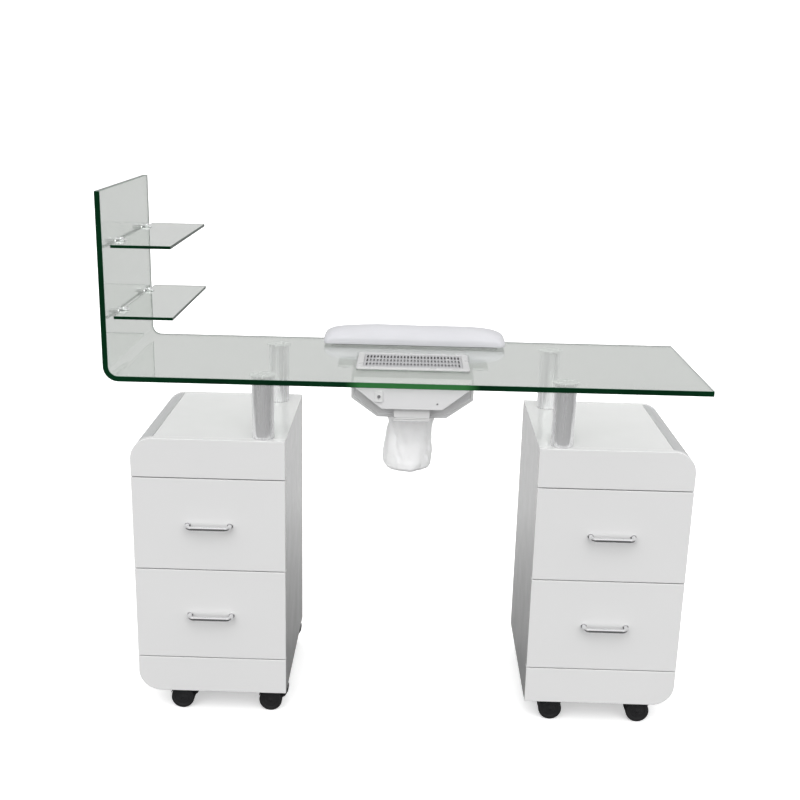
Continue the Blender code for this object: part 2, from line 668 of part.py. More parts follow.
def caster_hood(name, braked, made):
    """A web between the wheels, a cover over them and the swivel boss, about the wheel's centre."""
    web = arc((0, 0), HOOD_OUTER - WEB_INSET, 25, 165, 12) + arc((0, 0), WEB_FOOT, 200, 340, 6)
    hood = prism(name, web, -WEB, WEB, made, smooth=True)
    start, end = HOOD_ARC
    cover = arc((0, 0), HOOD_OUTER, start, end, 10) + arc((0, 0), HOOD_INNER, end, start, 10)
    side = WHEEL_SIDE + HOOD_OVERHANG
    boolean(hood, prism("cover_helper", cover, -side, side, None), "UNION")
    boss_top = CABINET_BASE - GAP - WHEEL_RADIUS
    neck = WEB - HOOD_OVERHANG
    shoulder = HOOD_INNER + BOSS_LIFT
    stem = [(0, BOSS_FOOT), (neck, BOSS_FOOT), (neck, shoulder), (BOSS_RADIUS, shoulder)]
    stem += [(BOSS_RADIUS, boss_top), (0, boss_top)]
    boolean(hood, turned("boss_helper", stem, (TRAIL, 0, 0), "Z", 16, None), "UNION")
    if braked:
        tab = arc((0, 0), HOOD_INNER, *TAB_ARC, 6) + list(TAB_CORNERS)
        boolean(hood, prism("tab_helper", tab, -TAB_HALF, TAB_HALF, None), "UNION")
    hole_radius = AXLE_RADIUS + GAP
    hole = [(0, -AXLE_CUT), (hole_radius, -AXLE_CUT), (hole_radius, AXLE_CUT), (0, AXLE_CUT)]
    boolean(hood, turned("axle_cutter", hole, (0, 0, 0), "Y", 20, None))
    return hood


def make_casters(made):
    """Twin-wheel casters, whose wheels trail towards -X. Those of the left cabinet have a brake tab."""
    outer, inner, edge = WHEEL_RADIUS, WEB + WHEEL_GAP, WHEEL_EDGE
    profile = [(0, -WHEEL_SIDE), (outer - edge, -WHEEL_SIDE), (outer, -WHEEL_SIDE + edge), (outer, -inner)]
    profile += [(AXLE_RADIUS, -inner)]
    profile += [(r, -h) for r, h in reversed(profile)]
    wheels = turned("wheel_pattern", profile, (0, 0, 0), "Y", 20, made["black"])
    wheel_mesh = baked_mesh(wheels)
    bpy.data.objects.remove(wheels)
    for side, places in CASTER_X.items():
        pattern = caster_hood("hood_pattern_" + side, side == "left", made["black"])
        hood_mesh = baked_mesh(pattern)
        pattern.hide_render = True
        pattern.display_type = "WIRE"
        hood_mesh.transform(Matrix.Translation((-TRAIL, 0, 0)))
        for end, distance in CASTER_DEPTHS.items():
            for number, x in enumerate(places, 1):
                tag = "%s_%s_%d" % (side, end, number)
                hood = bpy.data.objects.new("caster_hood_" + tag, hood_mesh)
                bpy.context.scene.collection.objects.link(hood)
                hood.location = (x, depth(distance), WHEEL_RADIUS)
                wheel = bpy.data.objects.new("caster_wheels_" + tag, wheel_mesh)
                bpy.context.scene.collection.objects.link(wheel)
                wheel.parent = hood
                wheel.location = (-TRAIL, 0, 0)


def main():
    for old in list(bpy.data.objects):
        bpy.data.objects.remove(old, do_unlink=True)
    made = make_materials()
    make_glass(made)
    make_shelves(made)
    make_armrest(made)
    make_vent(made)
    make_collector(made)
    for side, sign in (("left", -1), ("right", 1)):
        make_cabinet(side, sign, made)
        make_posts(side, sign, made)
    make_casters(made)


main()
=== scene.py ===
"""Looks of the manicure table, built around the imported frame. Metres, in the frame's axes."""

import json
import random
from math import cos, dist, exp, pi, radians, sin
import bmesh
import bpy
import numpy as np
from mathutils import Matrix, Vector, noise


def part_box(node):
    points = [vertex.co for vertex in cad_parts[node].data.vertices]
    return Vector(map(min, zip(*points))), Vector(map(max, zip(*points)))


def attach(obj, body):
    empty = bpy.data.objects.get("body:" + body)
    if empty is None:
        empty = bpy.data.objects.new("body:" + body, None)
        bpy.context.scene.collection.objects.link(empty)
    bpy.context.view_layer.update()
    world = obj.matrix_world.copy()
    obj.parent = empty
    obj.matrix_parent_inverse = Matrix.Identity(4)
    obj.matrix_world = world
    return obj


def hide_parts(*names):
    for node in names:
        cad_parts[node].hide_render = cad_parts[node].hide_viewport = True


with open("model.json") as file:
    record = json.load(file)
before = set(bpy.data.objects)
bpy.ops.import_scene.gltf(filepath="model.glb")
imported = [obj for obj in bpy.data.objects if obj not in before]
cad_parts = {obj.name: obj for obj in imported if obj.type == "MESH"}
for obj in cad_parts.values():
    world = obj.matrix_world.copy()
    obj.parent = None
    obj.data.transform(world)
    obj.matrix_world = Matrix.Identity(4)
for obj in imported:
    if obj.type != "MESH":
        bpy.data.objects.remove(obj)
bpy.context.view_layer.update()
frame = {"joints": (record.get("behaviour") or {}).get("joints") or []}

TABLE = "table"
SHEET = 0.011  # thickness of the bent glass
GAP = 0.0003  # room between parts that only touch
TRIM = 0.0005  # what each front panel gains above and below, for a narrower joint
FAN_BORE = 0.044
VOXEL = 0.0042  # grid of the cushion's mesh
PRESSURE, PRESSED_FRAMES, SWELL = 4, 20, 0.006  # how hard, how long and how far the cushion swells
CREASE, CREASE_COUNT = 0.0046, 19
CASTER_TRAIL = 0.01  # from a caster's swivel axis to its axle
SMOOTH_ANGLE = radians(32)
EVEN = (1, 1, 1)
UP = Vector((0, 0, 1))
SIDES = (-1, 1)
SCENE = bpy.context.scene

LOOKS = {}
SLOTS = {
    "glass": "glass", "chrome": "chrome zinc", "brushed_steel": "steel", "white_lacquer": "lacquer panel",
    "silver_laminate": "silver", "drawer_liner": "liner", "white_housing": "housing plate block rim",
    "white_vinyl": "vinyl", "white_cloth": "cloth mat", "black_plastic": "board black button tread",
}
SLOTS = {name: slot for slot, names in SLOTS.items() for name in names.split()}


# -------- shaders


def feed(tree, made, inputs):
    """Gives each named input of a node its value, or links it to an output."""
    for name, value in inputs.items():
        if isinstance(value, bpy.types.NodeSocket):
            tree.links.new(value, made.inputs[name])
        else:
            made.inputs[name].default_value = value


def node(tree, kind, inputs=None, **settings):
    """A new shader node of that kind, with its settings and inputs."""
    made = tree.nodes.new("ShaderNode" + kind)
    for name, value in settings.items():
        setattr(made, name, value)
    feed(tree, made, inputs or {})
    return made


def calculate(tree, operation, *values):
    return node(tree, "Math", dict(enumerate(values)), operation=operation).outputs[0]


def blend(tree, share, first, second, kind="FLOAT"):
    inputs = {"Factor": share, "A": first, "B": second}
    return node(tree, "Mix", inputs, data_type=kind).outputs["Result"]


def spread(tree, source, low, high, start=0.3, end=0.7, curve="LINEAR"):
    """The source, as it goes from start to end, mapped to the range low to high."""
    inputs = {"Value": source, "From Min": start, "From Max": end, "To Min": low, "To Max": high}
    return node(tree, "MapRange", inputs, interpolation_type=curve).outputs["Result"]


def bump(tree, height, strength, distance, under=None):
    inputs = {"Height": height, "Strength": strength, "Distance": distance}
    if under is not None:
        inputs["Normal"] = under
    return node(tree, "Bump", inputs).outputs["Normal"]


def pattern(tree, place, scale, stretch=EVEN, kind="noise"):
    """A noise or cell pattern in object space; stretch multiplies the scale along each axis."""
    mapping = node(tree, "Mapping", {"Scale": stretch, "Vector": place})
    inputs = {"Scale": scale, "Vector": mapping.outputs["Vector"]}
    if kind == "cells":
        inputs["Smoothness"] = 0.6
        return node(tree, "TexVoronoi", inputs, feature="SMOOTH_F1").outputs["Distance"]
    inputs["Detail"] = 4
    return node(tree, "TexNoise", inputs).outputs["Fac"]


def new_material(name):
    """A node material, its node tree, its Principled shader and its object coordinates."""
    made = bpy.data.materials.new(name)
    made.use_nodes = True
    tree = made.node_tree
    return made, tree, tree.nodes["Principled BSDF"], node(tree, "TexCoord").outputs["Object"]


def grain(scale, strength, height=0.0002, stretch=EVEN, kind="noise"):
    """One layer of fine relief, for the bumps of a look."""
    return kind, scale, strength, height, stretch


def look(key, name, colour, roughness, tone, polish, bumps=(), stretch=EVEN, **sockets):
    """A material whose colour, roughness and surface height all vary a little, kept under its key.

    tone and polish are (scale, amount), and bumps are layers of grain.
    """
    made, tree, shader, place = new_material(name)
    dark = [c * (1 - tone[1]) for c in colour]
    light = [min(1, c * (1 + tone[1])) for c in colour]
    share = spread(tree, pattern(tree, place, tone[0], stretch), 0, 1)
    low, high = max(0, roughness - polish[1]), roughness + polish[1]
    inputs = {
        "Base Color": blend(tree, share, (*dark, 1), (*light, 1), "RGBA"),
        "Roughness": spread(tree, pattern(tree, place, polish[0], stretch), low, high),
    }
    normal = None
    for kind, scale, strength, height, pull in bumps:
        normal = bump(tree, pattern(tree, place, scale, pull, kind), strength, height, normal)
    if normal is not None:
        inputs["Normal"] = normal
    inputs.update((socket.replace("_", " "), value) for socket, value in sockets.items())
    feed(tree, shader, inputs)
    LOOKS[key] = made
    return tree, shader, place


def woven():
    """Plain-woven cloth: fine threads over soft creases, with a painted glow, a weak white emission standing
    in for light through the thin cloth.
    """
    # painted glow: a weak white emission lifts the shaded cloth, in place of light coming through it
    tree, shader, place = look(
        "cloth", "filter_cloth_painted_glow", (0.94, 0.94, 0.945), 0.85, (35, 0.04), (60, 0.05),
        Sheen_Weight=0.25, Emission_Color=(1, 1, 1, 1), Emission_Strength=0.15,
    )
    threads = {"Scale": 320, "Distortion": 1.5, "Vector": place}
    waves = [node(tree, "TexWave", threads, bands_direction=way).outputs["Fac"] for way in "XZ"]
    creases = bump(tree, pattern(tree, place, 26, (1, 1, 0.55)), 0.8, 0.008)
    feed(tree, shader, {"Normal": bump(tree, calculate(tree, "ADD", *waves), 0.5, 0.0004, creases)})


def cut_edge(key, name):
    """A cut edge of the glass, which looks dark green."""
    return look(
        key, name, (0.002, 0.026, 0.009), 0.1, (9, 0.35), (60, 0.05),
        [grain(900, 0.15, stretch=(0.2, 1, 1))], Transmission_Weight=0.12, IOR=1.5, Specular_IOR_Level=0.04,
    )


def painted_glow_edge():
    """The worktop's edge, with a painted glow: a brighter green band where the white housing stands behind
    it, painted in for the light the housing sends through the glass.
    """
    tree, shader, place = cut_edge("edge_lit", "glass_edge_painted_glow")
    low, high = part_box("vent_frame")
    middle, half = (low.x + high.x) / 2, (high.x - low.x) / 2
    along = node(tree, "SeparateXYZ", {"Vector": place}).outputs["X"]
    distance = calculate(tree, "ABSOLUTE", calculate(tree, "SUBTRACT", along, middle))
    share = spread(tree, distance, 1, 0, half - 0.012, half + 0.016)
    dark = shader.inputs["Base Color"].links[0].from_socket
    # painted glow: the edge's dark green blends to a brighter green across the housing's width
    feed(tree, shader, {"Base Color": blend(tree, share, dark, (0.034, 0.165, 0.048, 1), "RGBA")})


def make_looks():
    glossy = {"Coat_Weight": 0.5, "Coat_Roughness": 0.08}
    look(
        "glass", "clear_glass", (0.85, 0.885, 0.85), 0.006, (2, 0.015), (5, 0.006),
        Transmission_Weight=1, IOR=1.5,
    )
    cut_edge("edge", "glass_edge")
    painted_glow_edge()
    look(
        "arris", "glass_arris", (0.1, 0.22, 0.15), 0.32, (20, 0.08), (90, 0.08),
        Transmission_Weight=0.35, IOR=1.5,
    )
    look("chrome", "polished_chrome", (0.83, 0.83, 0.84), 0.06, (14, 0.03), (45, 0.03), Metallic=1)
    look(
        "steel", "satin_tube", (0.83, 0.83, 0.84), 0.25, (9, 0.06), (40, 0.07),
        [grain(260, 0.06, stretch=(3, 3, 0.05))], (3, 3, 0.08), Metallic=0.6,
    )
    look("zinc", "zinc_steel", (0.62, 0.62, 0.63), 0.34, (30, 0.08), (80, 0.08), Metallic=1)
    look(
        "lacquer", "gloss_lacquer", (0.745, 0.745, 0.745), 0.2, (3, 0.012), (12, 0.03),
        [grain(220, 0.1), grain(60, 0.05, 0.0004, (0.12, 1, 1))], **glossy,
    )
    # painted shade: a darker copy of the gloss lacquer for the boards' sides and undersides, standing in for
    # the shade on the inner sides
    look(
        "panel", "lacquer_painted_shade", (0.68, 0.68, 0.68), 0.22, (3, 0.02), (12, 0.03),
        [grain(220, 0.1), grain(60, 0.06, 0.0004, (1, 0.12, 1))], **glossy,
    )
    look(
        "silver", "silver_laminate", (0.53, 0.535, 0.54), 0.33, (60, 0.05), (40, 0.04),
        [grain(500, 0.08, stretch=(1, 0.04, 1))], (1, 0.05, 1), Metallic=0.35,
    )
    look(
        "liner", "liner_foil", (0.72, 0.72, 0.71), 0.45, (12, 0.03), (30, 0.05),
        [grain(300, 0.1, stretch=(1, 0.1, 1))],
    )
    look("housing", "satin_housing", (0.71, 0.71, 0.715), 0.36, (5, 0.02), (40, 0.05), [grain(700, 0.16)])
    look("plate", "grille_plate", (0.39, 0.39, 0.4), 0.4, (9, 0.03), (40, 0.05), [grain(700, 0.15)])
    look("block", "pale_housing", (0.72, 0.72, 0.72), 0.34, (9, 0.02), (40, 0.04), [grain(700, 0.14)])
    look("rim", "vent_rim", (0.52, 0.52, 0.52), 0.3, (9, 0.02), (40, 0.04), [grain(600, 0.12)])
    look(
        "vinyl", "pebbled_vinyl", (0.55, 0.55, 0.575), 0.42, (18, 0.02), (60, 0.06),
        [grain(900, 0.22, 0.0004, kind="cells"), grain(90, 0.15, 0.0008)], Sheen_Weight=0.05,
    )
    # a real board under the cushion, whose dark green-grey tone is painted shade for the recess under the
    # cushion's edge
    look("board", "base_board_painted_shade", (0.19, 0.205, 0.2), 0.55, (40, 0.12), (60, 0.08), [grain(500, 0.2, 0.0003)])
    woven()
    look("black", "black_plastic", (0.012, 0.012, 0.013), 0.3, (20, 0.25), (60, 0.08), [grain(500, 0.12)])
    look("button", "button_cap", (0.22, 0.22, 0.23), 0.4, (60, 0.2), (80, 0.06), [grain(900, 0.15)])
    look(
        "mat", "filter_mat", (0.4, 0.4, 0.41), 0.9, (300, 0.12), (90, 0.05),
        [grain(1200, 0.5, 0.0006, kind="cells")],
    )
    # painted shade: a darker, green-grey copy of the housing for the tops of the shell and ears under the
    # glass, standing in for the shadow the glass does not cast
    look("gasket", "housing_top_painted_shade", (0.375, 0.39, 0.375), 0.6, (60, 0.05), (60, 0.06), [grain(600, 0.2)])
    look(
        "tread", "wheel_tread", (0.016, 0.016, 0.017), 0.5, (30, 0.25), (60, 0.08),
        [grain(800, 0.25, 0.0003)],
    )


# -------- outlines


def arc(centre, radius, start, end, steps):
    """Points along an arc, from one angle to another in degrees."""
    angles = [radians(start + (end - start) * i / steps) for i in range(steps + 1)]
    return [(centre[0] + radius * cos(a), centre[1] + radius * sin(a)) for a in angles]


def rounded_rectangle(centre, width, height, radius, steps=5):
    right, top = width / 2 - radius, height / 2 - radius
    points = []
    for sx, sy, start in ((1, 1, 0), (-1, 1, 90), (-1, -1, 180), (1, -1, 270)):
        points += arc((centre[0] + sx * right, centre[1] + sy * top), radius, start, start + 90, steps)
    return points


def rectangle(left, right, low, high):
    return [(left, low), (right, low), (right, high), (left, high)]


def middle_of(low, high):
    return (low[0] + high[0]) / 2, (low[1] + high[1]) / 2


def offset_outline(outline, distance):
    """A convex outline moved inwards by a distance, whichever way round it is drawn."""
    count = len(outline)
    following = outline[1:] + outline[:1]
    area = sum(a[0] * b[1] - b[0] * a[1] for a, b in zip(outline, following))
    turn = 1 if area > 0 else -1
    moved = []
    for i in range(count):
        before, here, after = (Vector(outline[k % count]) for k in (i - 1, i, i + 1))
        a, b = (here - before).normalized(), (after - here).normalized()
        na, nb = Vector((-a.y, a.x)) * turn, Vector((-b.y, b.x)) * turn
        moved.append(tuple(here + (na + nb) * distance / (1 + na.dot(nb))))
    return moved


# -------- shapes


def round_edges(bm, width, segments=2, angle=30):
    """Bevels the edges that turn by more than an angle in degrees."""
    limit = radians(angle)
    sharp = [e for e in bm.edges if len(e.link_faces) == 2 and e.calc_face_angle(0) > limit]
    bmesh.ops.bevel(
        bm, geom=sharp, offset=width, offset_type="OFFSET", segments=segments, profile=0.5,
        affect="EDGES", clamp_overlap=True,
    )
    return bm


def prism(outline, low, high, along="Y"):
    """The outline, drawn in the plane across the axis, pushed from low to high along it."""
    at = "XYZ".index(along)
    bm = bmesh.new()
    rings = [[bm.verts.new((*p[:at], w, *p[at:])) for p in outline] for w in (low, high)]
    for ring in rings:
        bm.faces.new(ring)
    for i in range(len(outline)):
        j = (i + 1) % len(outline)
        bm.faces.new((rings[0][i], rings[0][j], rings[1][j], rings[1][i]))
    bmesh.ops.recalc_face_normals(bm, faces=bm.faces)
    return bm


def block(low, high, bevel, segments=1):
    outline = rectangle(low[0], high[0], low[1], high[1])
    return round_edges(prism(outline, low[2], high[2], "Z"), bevel, segments)


def skin(levels, closed=False, caps=(0, -1)):
    """A surface through rings of points, which may be single points, with a face on the capped ones."""
    bm = bmesh.new()
    rings = [[bm.verts.new(p) for p in level] for level in levels]
    for first, second in zip(rings, rings[1:] + (rings[:1] if closed else [])):
        count = max(len(first), len(second))
        for k in range(count):
            j = (k + 1) % count
            corners = [(first, k), (first, j), (second, j), (second, k)]
            corners = list(dict.fromkeys(ring[at % len(ring)] for ring, at in corners))
            if len(corners) > 2:
                bm.faces.new(corners)
    for cap in () if closed else caps:
        if len(rings[cap]) > 1:
            bm.faces.new(rings[cap])
    bmesh.ops.recalc_face_normals(bm, faces=bm.faces)
    return bm


def turned(count):
    return [2 * pi * k / count for k in range(count)]


def lathe(profile, centre, axis="Z", segments=64, closed=False):
    """The profile of (radius, height) points turned about an axis through the centre."""
    levels = []
    for radius, height in profile:
        turn = turned(segments) if radius > 0 else [0]
        levels.append([(radius * cos(a), radius * sin(a), height) for a in turn])
    bm = skin(levels, closed)
    tilt = {"Z": Matrix(), "Y": Matrix.Rotation(radians(-90), 4, "X")}
    tilt["X"] = Matrix.Rotation(radians(90), 4, "Y")
    bmesh.ops.transform(bm, matrix=Matrix.Translation(centre) @ tilt[axis], verts=bm.verts)
    return bm


def tube(points, radius, sides):
    """A round bar along the points, capped at both ends."""
    path = [Vector(p) for p in points]
    levels = []
    for i, point in enumerate(path):
        ahead = (path[min(i + 1, len(path) - 1)] - path[max(i - 1, 0)]).normalized()
        across = ahead.cross(UP).normalized()
        up = across.cross(ahead).normalized()
        levels.append([point + radius * (cos(a) * across + sin(a) * up) for a in turned(sides)])
    return skin(levels)


def as_mesh(bm, name):
    mesh = bpy.data.meshes.new(name)
    bm.to_mesh(mesh)
    bm.free()
    return mesh


def add_object(name, data):
    obj = bpy.data.objects.new(name, data)
    SCENE.collection.objects.link(obj)
    return obj


def merge(*parts):
    """Several closed shapes in one mesh."""
    whole = bmesh.new()
    for part in parts:
        mesh = as_mesh(part, "part")
        whole.from_mesh(mesh)
        bpy.data.meshes.remove(mesh)
    return whole


def carve(bm, cutter):
    """The first closed shape less the second."""
    objects = [add_object("carve", as_mesh(part, "carve")) for part in (bm, cutter)]
    modifier = objects[0].modifiers.new("carve", "BOOLEAN")
    modifier.operation, modifier.solver, modifier.object = "DIFFERENCE", "EXACT", objects[1]
    result = bmesh.new()
    result.from_object(objects[0], bpy.context.evaluated_depsgraph_get())
    for obj in objects:
        mesh = obj.data
        bpy.data.objects.remove(obj)
        bpy.data.meshes.remove(mesh)
    bmesh.ops.dissolve_limit(result, angle_limit=radians(0.5), verts=result.verts, edges=result.edges)
    return result


def mark(bm, *tests):
    """Numbers each face's look by the first test that its centre and normal pass, or else 0."""
    for face in bm.faces:
        centre, normal = face.calc_center_median(), face.normal
        face.material_index = next((i for i, test in enumerate(tests, 1) if test(centre, normal)), 0)
    return bm


def stored(bm, name, looks):
    """A smooth mesh of the shape, with the looks named in a string."""
    mesh = as_mesh(bm, name)
    for made in looks.split():
        mesh.materials.append(LOOKS[made])
    mesh.shade_smooth()
    mesh.set_sharp_from_angle(angle=SMOOTH_ANGLE)
    return mesh


def piece(name, shape, looks, stands_for=None, body=TABLE, location=(0, 0, 0), slot=None):
    """Turns a shape into a named piece that rides on a body, with its looks."""
    obj = add_object(name, shape if isinstance(shape, bpy.types.Mesh) else stored(shape, name, looks))
    obj.location = location
    obj.modifiers.new("flat_faces", "WEIGHTED_NORMAL").keep_sharp = True
    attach(obj, body)
    if stands_for:
        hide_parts(stands_for)
    return obj


def apply_all(obj):
    """Makes the object's modifiers part of its mesh."""
    graph = bpy.context.evaluated_depsgraph_get()
    mesh = bpy.data.meshes.new_from_object(obj.evaluated_get(graph))
    old = obj.data
    obj.modifiers.clear()
    obj.data = mesh
    bpy.data.meshes.remove(old)


def screw(centre, radius, axis, height, sign):
    """A low domed screw head standing on its centre point."""
    profile = [(0, 1), (0.45, 0.95), (0.8, 0.7), (1, 0.2), (1, 0), (0, 0)]
    return lathe([(radius * r, sign * (height * h)) for r, h in profile], centre, axis, 24)


# -------- glass


def make_glass():
    low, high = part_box("glass_top")
    outer, inset, near = 0.03, 0.01, 0.002
    bend = (low.x + outer, low.z + outer)
    outline = [(high.x, low.z)] + arc(bend, outer, 270, 180, 24)
    outline += [(low.x, high.z), (low.x + SHEET, high.z)]
    outline += arc(bend, outer - SHEET, 180, 270, 24) + [(high.x, low.z + SHEET)]
    vent_low, vent_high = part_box("vent_frame")
    cut_low = (vent_low.x + inset, vent_low.y + inset)
    cut_high = (vent_high.x - inset, vent_high.y - inset)
    size = (cut_high[0] - cut_low[0], cut_high[1] - cut_low[1])
    hole = rounded_rectangle(middle_of(cut_low, cut_high), *size, 0.006)
    bm = carve(prism(outline, low.y, high.y), prism(hole, low.z - SHEET, low.z + 2 * SHEET, "Z"))
    round_edges(bm, 0.0006, 1, 50)

    def edge(c, n):
        if cut_low[0] - near < c.x < cut_high[0] + near and cut_low[1] - near < c.y < cut_high[1] + near:
            if abs(n.z) < 0.5:
                return True
        ends = (n.x > 0.95 and c.x > high.x - 0.001) or (n.z > 0.95 and c.z > high.z - 0.001)
        return ends or abs(n.y) > 0.95

    def arris(c, n):
        slanted = max(abs(n.x), abs(n.y), abs(n.z)) < 0.95
        return slanted and (abs(n.y) > 0.3 or c.x > high.x - near or c.z > high.z - near)

    # the long edges take the painted glow look, a brighter green over the housing
    piece("glass_sheet", mark(bm, edge, arris), "glass edge_lit arris", "glass_top").visible_shadow = False

    def shelf_edge(c, n):
        return abs(n.z) < 0.3 and max(abs(n.x), abs(n.y)) > 0.95

    for name in ("upper", "lower"):
        low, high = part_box("shelf_" + name)
        bm = mark(block(low, high, 0.0003), shelf_edge, lambda c, n: abs(n.z) < 0.95)
        piece("glass_shelf_" + name, bm, "glass edge arris", "shelf_" + name).visible_shadow = False
        for end in ("near", "far"):
            make_clip("%s_%s" % (name, end), (low.z + high.z) / 2, (high.z - low.z) / 2)


def make_clip(tag, middle, half):
    """A cast shelf clip: a body with two jaws, a nub above, a clamp screw below and a rose on the panel."""
    low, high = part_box("clip_" + tag)
    back, slot = low.x + 0.004, half + GAP
    y, across = (low.y + high.y) / 2, high.x - 0.0095
    outline = [(low.x, low.z), (high.x - 0.006, low.z), (high.x, low.z + 0.0025), (high.x, middle - slot)]
    outline += [(back, middle - slot), (back, middle + slot), (high.x, middle + slot)]
    outline += [(high.x, high.z - 0.0025), (high.x - 0.006, high.z), (low.x, high.z)]
    body = round_edges(prism(outline, low.y + 0.002, high.y - 0.002), 0.0006)
    nub = [(0, 0.0035), (0.003, 0.0032), (0.0044, 0.002), (0.005, 0), (0, 0)]
    grip = [(0, 0), (0.0045, 0), (0.0045, -0.003), (0.0038, -0.0038), (0, -0.0038)]
    rose = [(0, 0), (0.0095, 0), (0.0095, 0.0012), (0.0088, 0.0018), (0, 0.0018)]
    parts = [body, lathe(nub, (across, y, high.z - 0.0005), "Z", 28)]
    parts.append(lathe(grip, (across, y, low.z + 0.0002), "Z", 28))
    parts.append(lathe(rose, (low.x - GAP / 2, y, (low.z + high.z) / 2), "X", 36))
    piece("shelf_clip_" + tag, merge(*parts), "chrome", "clip_" + tag)


# -------- armrest


def pad_shape(low, high, radius, steps):
    """A closed pad: flat below, drawn in towards its top, with round corners in plan."""
    middle = middle_of(low, high)
    height, reach_x, reach_y = high[2] - low[2], (high[0] - low[0]) / 2, (high[1] - low[1]) / 2
    outline = rounded_rectangle(middle, high[0] - low[0], high[1] - low[1], radius, steps)
    sides = [(0, 1), (0.15, 1), (0.32, 0.995), (0.48, 0.96), (0.62, 0.9), (0.75, 0.8)]
    sides += [(0.86, 0.66), (0.94, 0.48), (0.985, 0.28), (1, 0.12)]
    levels = []
    for share, inset in sides:
        pull = (1 - inset) * (high[1] - low[1]) / 2
        level = []
        for x, y in outline:
            x = middle[0] + (x - middle[0]) * (reach_x - pull) / reach_x
            y = middle[1] + (y - middle[1]) * (reach_y - pull) / reach_y
            level.append((x, y, low[2] + height * share))
        levels.append(level)
    return skin(levels)


def inflate(obj, floor):
    """Swells the pad as pressed cloth round its foam, with its underside held, then applies the result."""
    before = np.array([v.co for v in obj.data.vertices])
    held = obj.vertex_groups.new(name="held")
    held.add([v.index for v in obj.data.vertices if v.co.z < floor + 0.009], 1, "REPLACE")
    cloth = obj.modifiers.new("cloth", "CLOTH")
    settings = cloth.settings
    settings.use_pressure = True
    settings.uniform_pressure_force = PRESSURE
    settings.quality = 6
    settings.tension_stiffness = settings.compression_stiffness = 12
    settings.shear_stiffness = 8
    settings.bending_stiffness = 0.6
    settings.vertex_group_mass = "held"
    settings.effector_weights.gravity = 0
    cloth.point_cache.frame_start, cloth.point_cache.frame_end = 1, PRESSED_FRAMES
    for number in range(1, PRESSED_FRAMES + 1):
        SCENE.frame_set(number)
    apply_all(obj)
    SCENE.frame_set(1)
    moved = np.array([v.co for v in obj.data.vertices]) - before
    length = np.linalg.norm(moved, axis=1, keepdims=True)
    set_points(obj.data, before + moved * np.minimum(1, SWELL / np.maximum(length, 1e-9)))


def set_points(mesh, points):
    mesh.vertices.foreach_set("co", points.astype(np.float32).ravel())
    mesh.update()


def make_armrest():
    low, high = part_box("armrest_base")
    foot = 0.0012
    outline = rounded_rectangle(middle_of(low, high), high.x - low.x, high.y - low.y, 0.012, 8)
    # the board's dark tone is painted shade for the recess under the cushion
    base = round_edges(prism(outline, low.z + foot, high.z, "Z"), 0.0008)
    piece("rest_base", base, "board", "armrest_base")
    feet = []
    profile = [(0, -foot), (0.007, -foot), (0.008, 0), (0, 0)]
    for x in (low.x + 0.03, (low.x + high.x) / 2, high.x - 0.03):
        for y in (low.y + 0.015, high.y - 0.015):
            feet.append(lathe(profile, (x, y, low.z + foot), "Z", 24))
    piece("rest_feet", merge(*feet), "tread")

    low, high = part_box("armrest_cushion")
    shrink = 0.004
    start = (low.x + shrink, low.y + shrink, low.z)
    end = (high.x - shrink, high.y - shrink, high.z - shrink)
    cushion = add_object("rest_cushion", as_mesh(pad_shape(start, end, 0.024, 8), "rest_cushion"))
    remesh = cushion.modifiers.new("remesh", "REMESH")
    remesh.mode, remesh.voxel_size = "VOXEL", VOXEL
    apply_all(cushion)
    inflate(cushion, low.z)
    shape_cushion(cushion.data, low, high)
    smooth = cushion.modifiers.new("smooth", "SUBSURF")
    smooth.levels = smooth.render_levels = 1
    apply_all(cushion)
    cushion.data.materials.append(LOOKS["vinyl"])
    cushion.data.shade_smooth()
    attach(cushion, TABLE)
    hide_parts("armrest_cushion")
    make_piping(cushion, low, high)


def shape_cushion(mesh, low, high):
    """Fits the pad to its box, with a wider foot and a crown that is fullest left of the middle."""
    points = np.array([v.co for v in mesh.vertices])
    near, far = points.min(0), points.max(0)
    share = (points - near) / (far - near)
    points = np.array(low) + share * (np.array(high) - np.array(low))
    centre = (np.array(low) + np.array(high)) / 2
    foot = np.clip(1 - share[:, 2] / 0.45, 0, 1)
    for axis, swell in ((0, 0.03), (1, 0.14)):
        points[:, axis] = centre[axis] + (points[:, axis] - centre[axis]) * (1 + swell * foot)
        points[:, axis] = np.clip(points[:, axis], low[axis], high[axis])
    places = (-1, -0.95, -0.89, -0.75, -0.58, -0.41, -0.18, 0.04, 0.57, 0.75, 0.87, 0.95, 1)
    heights = (0.6, 0.7, 0.79, 0.88, 0.95, 1, 0.965, 0.96, 0.965, 0.92, 0.83, 0.72, 0.6)
    crown = np.interp(share[:, 0] * 2 - 1, places, heights)
    lift = np.clip((share[:, 2] - 0.25) / 0.75, 0, 1)
    points[:, 2] = low[2] + (points[:, 2] - low[2]) * (1 + (crown - 1) * lift)
    for i, p in enumerate(points):
        points[i, 2] += 0.0005 * noise.noise(Vector((p[0] * 22, p[1] * 30, p[2] * 30))) * lift[i]
    set_points(mesh, points)


